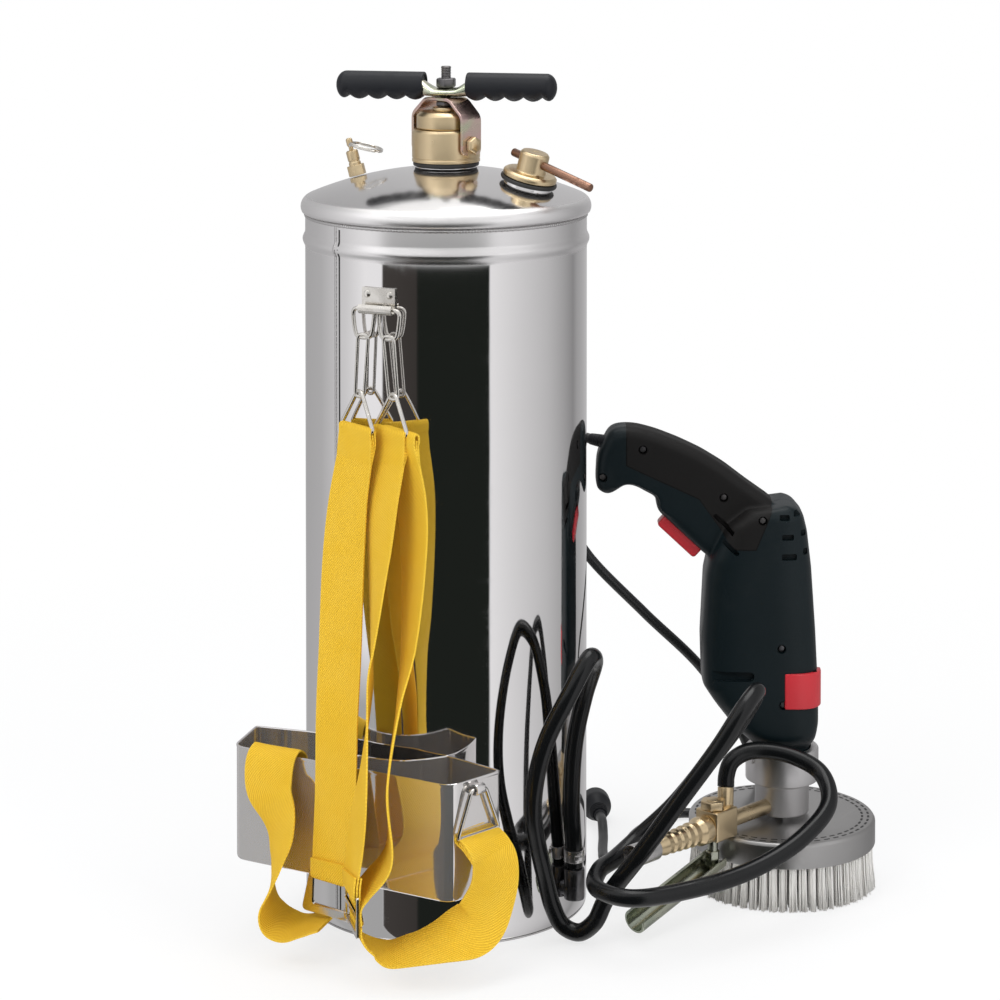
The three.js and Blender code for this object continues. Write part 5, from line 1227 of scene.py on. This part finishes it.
def addCord():
    line = evenly(curveThrough(cordRoute, 3000), 600)
    lead = addPiece("powerLead", carried(line, oval(4, 4, 20)), "cord", "power_cord", flat=0)
    start, end = toolFrame @ Vector((-139, -2, 352)), toolFrame @ Vector((-152, 11, 352))
    length = (end - start).length
    sleeve = [(0, 0), (5.4, 0)]
    for k in range(5):
        at = 6 + k * 2.1
        sleeve += [(5.3 - k * 0.12, at), (4.7, at + 0.3), (4.7, at + 0.9), (5.2 - k * 0.12, at + 1.2)]
    relief = turnedSolid(sleeve + [(4.5, length), (0, length)], 40, 0.25)
    boot = addPiece("cordSleeve", moved(relief, upTo(start, end - start)), "rubber", "strain_relief")
    place = upTo(cordRoute[-1], (cordRoute[-1] - cordRoute[-2]) * (1, 1, 0))
    head = turnedSolid([(0, 0.3), (4.4, 0.3), (4.9, 4), (5.6, 9), (7.4, 14), (9.6, 19), (12, 23.5),
                        (12.4, 26), (12.4, 37.5), (11.4, 40), (0, 40)], 64, 1.2, 3)
    ribs = []
    for k in range(4):
        wide, at = k * 0.45, k * 2.6
        ribs.append(closedLathe([(5.0 + wide, 4 + at), (6.3 + wide, 4.4 + at), (6.3 + k * 0.5, 5.4 + at),
                                 (5.2 + k * 0.5, 5.8 + at)], 40, 0.2))
    pins = [rodItem((x, 0, 38), (x, 0, 58), 2.4, 24, 1.2) for x in (-8, 8)]
    plug = addPiece("plugBody", moved(joined(head, *ribs), place), "rubber", "plug")
    prongs = addPiece("plugPins", moved(joined(*pins), place), "brass", rides="plug")
    pathOf(line, 12)


toolFrame = shift(215.2, 161.2, 0) @ spin(30)
waterFrame = toolFrame @ spin(226)
tapFrame = waterFrame @ shift(86, 0, 0)
addHose()
addCord()
print("hose and cord built")


bodyOutline = np.array([
    (-26, 99), (-26, 109), (-41, 127), (-56, 147), (-64.5, 161), (-65.5, 198), (-63, 249), (-60, 263),
    (-46, 290), (-30, 302), (-6, 305), (1, 306.5), (9, 304), (15, 297), (18, 285), (21.5, 256), (25, 205),
    (27.5, 155), (27.5, 132), (25, 117), (24, 109), (24, 99)], float)
handleOutline = np.array([
    (-60, 262), (-101, 300), (-101, 310), (-109, 314), (-118, 319), (-126, 320), (-133, 315), (-138, 312.5),
    (-143, 313), (-148.5, 317), (-149, 325), (-148, 343), (-142, 356.5), (-138, 363), (-131, 366),
    (-118, 366), (-101, 361.5), (-83, 354.5), (-65, 346), (-47, 335), (-30, 322), (-8, 306.5), (0, 290),
    (-10, 250)], float)
noseLine = np.array([(0, 22.3), (111, 22.3), (127, 42), (147, 60), (165, 78), (200, 92), (400, 92)], float)


def bodyItem():
    # Level sections: a superellipse between the outline's two sides, held inside the nose's cone by
    # (r^-14 + R^-14)^(-1/14), with the top and the nose's foot drawn in.
    z = np.concatenate([[99, 99.6, 100.5], np.linspace(102, 290, 90), np.linspace(291, 306.2, 24)])
    left = np.interp(z, bodyOutline[:12, 1], bodyOutline[:12, 0])
    right = np.interp(z, bodyOutline[11:, 1][::-1], bodyOutline[11:, 0][::-1])
    half = 33 - 12 * (1 - np.sqrt(1 - np.clip((z - 294.5) / 12, 0, 1) ** 2))
    section = oval(1, 1, 96, 4.2)
    x = (left + right)[:, None] / 2 + (right - left)[:, None] / 2 * section[:, 0]
    y = half[:, None] * section[:, 1]
    reach = np.hypot(x, y) + 1e-6
    limit = np.interp(z, noseLine[:, 0], noseLine[:, 1])[:, None]
    share = (reach ** -14.0 + limit ** -14.0) ** (-1 / 14) / reach
    foot = (1 - 0.05 * (1 - np.clip((z - 99) / 1.5, 0, 1)) ** 2)[:, None]
    return capped(np.stack(np.broadcast_arrays(x * share * foot, y * share * foot, z[:, None]), -1))


def upright(item):
    # What was drawn level, stood up on its y: x, then height, then depth.
    return item[0][:, [0, 2, 1]], item[1]


def handleItem():
    return upright(slab(anticlockwise(softLine(handleOutline, 6, 3, True)), -17, 17, 8, 5))


# Holes in the drill's front shell, in the tool's frame: x, height and size in millimetres.
screwHoles = [(-112, 348.7), (-143.6, 326.5), (-48.1, 310.7), (-18.5, 295.8), (-3.6, 194.6), (-2, 149.8)]
ventHoles = [(-1.5, 298.2, 7.9, 4.6), (8.5, 300.7, 5.5, 4.6), (1.1, 282.8, 9.4, 4.6),
             (13.5, 285.6, 4.4, 4.6), (2.3, 267.2, 11.8, 5.1), (15.2, 270.8, 3.7, 5.1)]
slotHoles = [((-54.6, 296.2), (-38.9, 282.5), 1.8), ((-56.1, 284.9), (-38.9, 269.9), 1.8),
             ((-60, 172.6), (-28.8, 172.6), 3.9)]
holeDepth = 4.5


def holeCutter(outline, surface):
    # A closed outline of x and height, driven a hole's depth past the shell's surface.
    points, faces = upright(slab(outline, -surface - holeDepth, -surface + 12, 0.1, 1))
    return points * (1, -1, 1), faces


def shellHoles(surfaceAt):
    cutters = [holeCutter(oval(3.6, 3.6, 24) + (x, z), surfaceAt(x, z)) for x, z in screwHoles]
    for x, z, width, height in ventHoles:
        outline = oblong(-width / 2, -height / 2, width / 2, height / 2, 1.2, 3) + (x, z)
        cutters.append(holeCutter(outline, surfaceAt(x, z)))
    for start, end, half in slotHoles:
        start, end = np.array(start), np.array(end)
        across, up = end - start
        sweep = np.linspace(-pi / 2, pi / 2, 9) + math.atan2(up, across)
        outline = np.concatenate([arcOf(half, sweep) + end, arcOf(half, sweep + pi) + start])
        cutters.append(holeCutter(outline, surfaceAt(*((start + end) / 2))))
    return joined(*cutters)


def addHousing():
    # Body and handle melt into one skin by a fine voxel remesh and a light smoothing, then part at y = 0.
    block = addMesh("housingRough", joined(bodyItem(), handleItem()), flat=0)
    remesh = block.modifiers.new("remesh", "REMESH")
    remesh.mode, remesh.voxel_size = "VOXEL", 0.0012
    smooth = block.modifiers.new("smooth", "SMOOTH")
    smooth.factor, smooth.iterations = 0.5, 10
    bpy.context.view_layer.update()
    tree = BVHTree.FromObject(block, bpy.context.evaluated_depsgraph_get())
    surfaceAt = lambda x, z: tree.ray_cast(Vector((x, -80, z)) * 0.001, Vector((0, 1, 0)))[0].y * 1000
    cutter = addMesh("housingHoles", shellHoles(surfaceAt), flat=0)
    carve = block.modifiers.new("holes", "BOOLEAN")
    carve.operation, carve.solver, carve.object = "DIFFERENCE", "EXACT", cutter
    bpy.context.view_layer.update()
    whole = bpy.data.meshes.new_from_object(block.evaluated_get(bpy.context.evaluated_depsgraph_get()))
    for extra in (block, cutter):
        bpy.data.objects.remove(extra)
    head = slab(hexagon(4.6, 0.4), 0, 1.6, 0.3)
    screws = []
    for x, z in screwHoles:
        screws.append(moved(head, upTo((x, surfaceAt(x, z) + holeDepth + 0.1, z), (0, -1, 0))))
    addPiece("housingScrews", moved(joined(*screws), toolFrame), "blackSteel", rides="housing_front")
    place = toolFrame.copy()
    place.translation *= 0.001
    for name, side in (("housingFront", -1), ("housingRear", 1)):
        part = bmesh.new()
        part.from_mesh(whole)
        every = part.verts[:] + part.edges[:] + part.faces[:]
        cut = bmesh.ops.bisect_plane(part, geom=every, plane_co=(0, side * 0.0002, 0),
                                     plane_no=(0, -side, 0), clear_outer=True)
        edges = [edge for edge in cut["geom_cut"] if isinstance(edge, bmesh.types.BMEdge)]
        bmesh.ops.holes_fill(part, edges=edges, sides=0)
        part.transform(place)
        dress(addShell(name, bpy.data.meshes.new(name), part, 40), "housing", nodeOf(name))


def addTrigger():
    finger = [(-19, -9), (21, -9), (21, 7.5), (16, 7), (8, 4.5), (0, 5.5), (-10, 4), (-19, 2)]
    finger = anticlockwise(softLine(finger, 3, 4, True))
    place = toolFrame @ shift(-80.5, 0, 281) @ Matrix.Rotation(math.atan2(38, 41), 4, "Y")
    addPiece("triggerFinger", moved(upright(slab(finger, -7.3, 7.3, 2.2, 4)), place), "red", "trigger")


def addSelector():
    outline = softLine([(-1, -34.2), (13, -34.2), (21, -31.6), (26, -26.5), (28.9, -20), (28.9, -12),
                        (24, -12), (24, -26), (-1, -26)], [1.5, 4, 4, 4, 4, 1, 1, 1, 1], 3, True)
    addPiece("modeSelector", moved(slab(outline, 147, 175, 1.0), toolFrame), "red")


def finishInside():
    # The hidden pieces keep their CAD shapes and take a finish.
    inside = {"copper": ["motor_stator", "motor_armature"], "satin": ["output_shaft", "brush_spindle"],
              "brass": ["pump_barrel", "foot_valve"], "rubber": ["pump_piston"], "wire": ["relief_spring"]}
    for look, nodes in inside.items():
        for node in nodes:
            mesh = frame["nodes"][node].data
            mesh.materials.clear()
            mesh.materials.append(looks[look])


addHousing()
addTrigger()
addSelector()
finishInside()
print("drill built")


def addCollar():
    cup = [(13, 56.5), (20.6, 56.5), (21.5, 57.4), (21.5, 80), (29, 83), (29, 107.8), (27.8, 109),
           (22.9, 109), (22.9, 98.6), (17.5, 98.6), (17.5, 74), (13, 74)]
    screw = turnedSolid([(0, -1), (2.6, -1), (2.6, 0.8), (2.0, 1.3), (0, 1.3)], 24)
    screw = moved(screw, upTo((-25, -14.7, 101), (-25, -14.7, 0)))
    addPiece("brushCollar", moved(joined(closedLathe(cup, 128, 0.7), screw), toolFrame), "cast")


def addCover():
    addTurned(toolFrame, ("brushCover", "disc", 192, 0.8, [
        (8.3, 51.6), (71, 51.6), (72, 50.6), (72, 34), (74, 34), (74, 51.6), (72.2, 54), (8.3, 54)]))
    count = 50
    dash = slab(oblong(-0.9, -2.6, 0.9, 2.6, 0.4, 2), 53.9, 54.06, 0.03, 1)
    marks = [moved(dash, spin(360 * k / count) @ shift(radius, 0, 0)) for k in range(count)
             for radius in (63.6, 68.4)]
    addPiece("coverDashes", moved(joined(*marks), toolFrame), "seal", rides="brush_cover", merge=False)


def addBristles():
    # Tufts in rings, each a bunch of hairs that lean outwards by a third at mid height and wholly at the floor.
    random = np.random.default_rng(7)
    backing = closedLathe([(8.3, 34), (71.7, 34), (71.7, 51.3), (8.3, 51.3)], 96)
    corners = arcOf(0.46, np.arange(3) * 2 * pi / 3)
    share = np.array([0, 0.35, 1.0])
    hairs = []
    for ring in range(8):
        radius = 71.7 - 2.8 - ring * 7.3
        count = int(2 * pi * radius / 7.5)
        angle = 2 * pi * (np.arange(count) + (ring % 2) / 2) / count
        root = np.repeat(arcOf(radius, angle), 54, 0)
        amount = len(root)
        way = random.uniform(0, 2 * pi, amount)
        reach = np.sqrt(random.uniform(0, 1, amount)) * 2.8
        offset = arcOf(1, way) * reach[:, None]
        rim = 2.8 if ring == 0 else 1.0
        lean = offset * random.uniform(0.0, 0.35, (amount, 1))
        lean = lean + unit(root) * random.uniform(0, rim, (amount, 1))
        foot = random.uniform(0, 0.8, amount)
        heights = np.stack([np.full(amount, 35.5), np.full(amount, 18.0), foot], 1)
        middle = (root + offset)[:, None] + lean[:, None] * share[:, None]
        xy = middle[:, :, None] + corners
        z = np.broadcast_to(heights[:, :, None, None], (*xy.shape[:3], 1))
        hairs.append(np.concatenate([xy, z], -1))
    hair = np.concatenate(hairs)
    index = np.arange(len(hair) * 9).reshape(-1, 3, 3)
    nextOne = np.roll(index, -1, 2)
    quads = np.stack([index[:, :-1], nextOne[:, :-1], nextOne[:, 1:], index[:, 1:]], -1).reshape(-1, 4)
    item = joined(backing, (hair.reshape(-1, 3), [quads, index[:, 2]]))
    addPiece("bristleTufts", moved(item, toolFrame), "bristle", "bristles", flat=0, merge=False)


def addValve():
    block = slab(oblong(68, -11, 94, 11, 2.2, 4), 55, 78, 1.4, 3)
    spigot = rodItem((15, 0, 64), (81, 0, 64), 6)
    end, before = Vector(hoseRoute[-1]), Vector(hoseRoute[-2])
    tip = waterFrame.inverted() @ (end + (end - before).normalized() * 0.3)
    tail = rodItem((71, 0, 66), tip, 6.3, 32, 0.8)
    addPiece("valveBlock", moved(joined(block, spigot, tail), waterFrame), "brass")
    button = moved(turnedSolid([(0, 0), (5, 0), (4.6, 0.8), (0, 1.1)], 32), shift(0, 0, 84.6))
    addPiece("valveCap", moved(joined(slab(hexagon(17, 0.8), 78.3, 84.8, 0.7), button), tapFrame), "brass")
    lie = waterFrame @ shift(0, 0, 64) @ spin(90, "Y")
    start = 94.3
    barb = [(0, 91.4), (6, 91.4), (6, start), (10.4, start), (11, start + 0.8), (11, start + 9),
            (9.6, start + 12)]
    for k in range(5):
        foot = start + 14 + k * 7.6
        barb += [(8.6 - k * 0.4, foot), (9.6 - k * 0.4, foot + 5.6)]
    barb += [(6, 153), (6, 164.2), (5.3, 165), (0, 165)]
    addTurned(lie, ("barbNipple", "brass", 64, 0.5, barb))
    sleeve = [(6.3, 155), (8.6, 155), (8.6, 181), (7.6, 181), (7.6, 158), (6.3, 158)]
    addPiece("hoseFerrule", moved(closedLathe(sleeve, 64, 0.3), lie), "satin", "hose_sleeve")


def addLever():
    # A round trough, open upwards and outwards, from a heel behind the stem down to the grip's end.
    middle, gap = math.radians(62), math.radians(54)
    arc = np.linspace(middle + gap, middle - gap + 2 * pi, 40)
    section = np.concatenate([arcOf(9.5, arc), arcOf(7.9, arc)[::-1]])
    x = np.concatenate([[0, 0.3, 1], np.linspace(4, 97, 20), [100, 100.7, 101]])
    size = np.array([0.96, 0.99] + [1] * (len(x) - 4) + [0.99, 0.96])[:, None]
    points, faces = grid(acrossX(x, section[:, 0] * size, section[:, 1] * size), wrapColumns=True)
    k = np.arange(39)
    ends = [np.stack([k, k + 1, 78 - k, 79 - k], -1) + row * 80 for row in (0, len(x) - 1)]
    channel = moved((points, faces + ends), shift(-6, 0, 39) @ spin(14.6, "Y"))
    head = slab(hexagon(10, 0.6), 34, 45.5, 0.5)
    addPiece("tapLever", moved(joined(channel, rodItem((0, 0, 36), (0, 0, 66), 4.2), head), tapFrame),
             "greyZinc")


addCollar()
addCover()
addBristles()
addValve()
addLever()
print("brush and valve built")
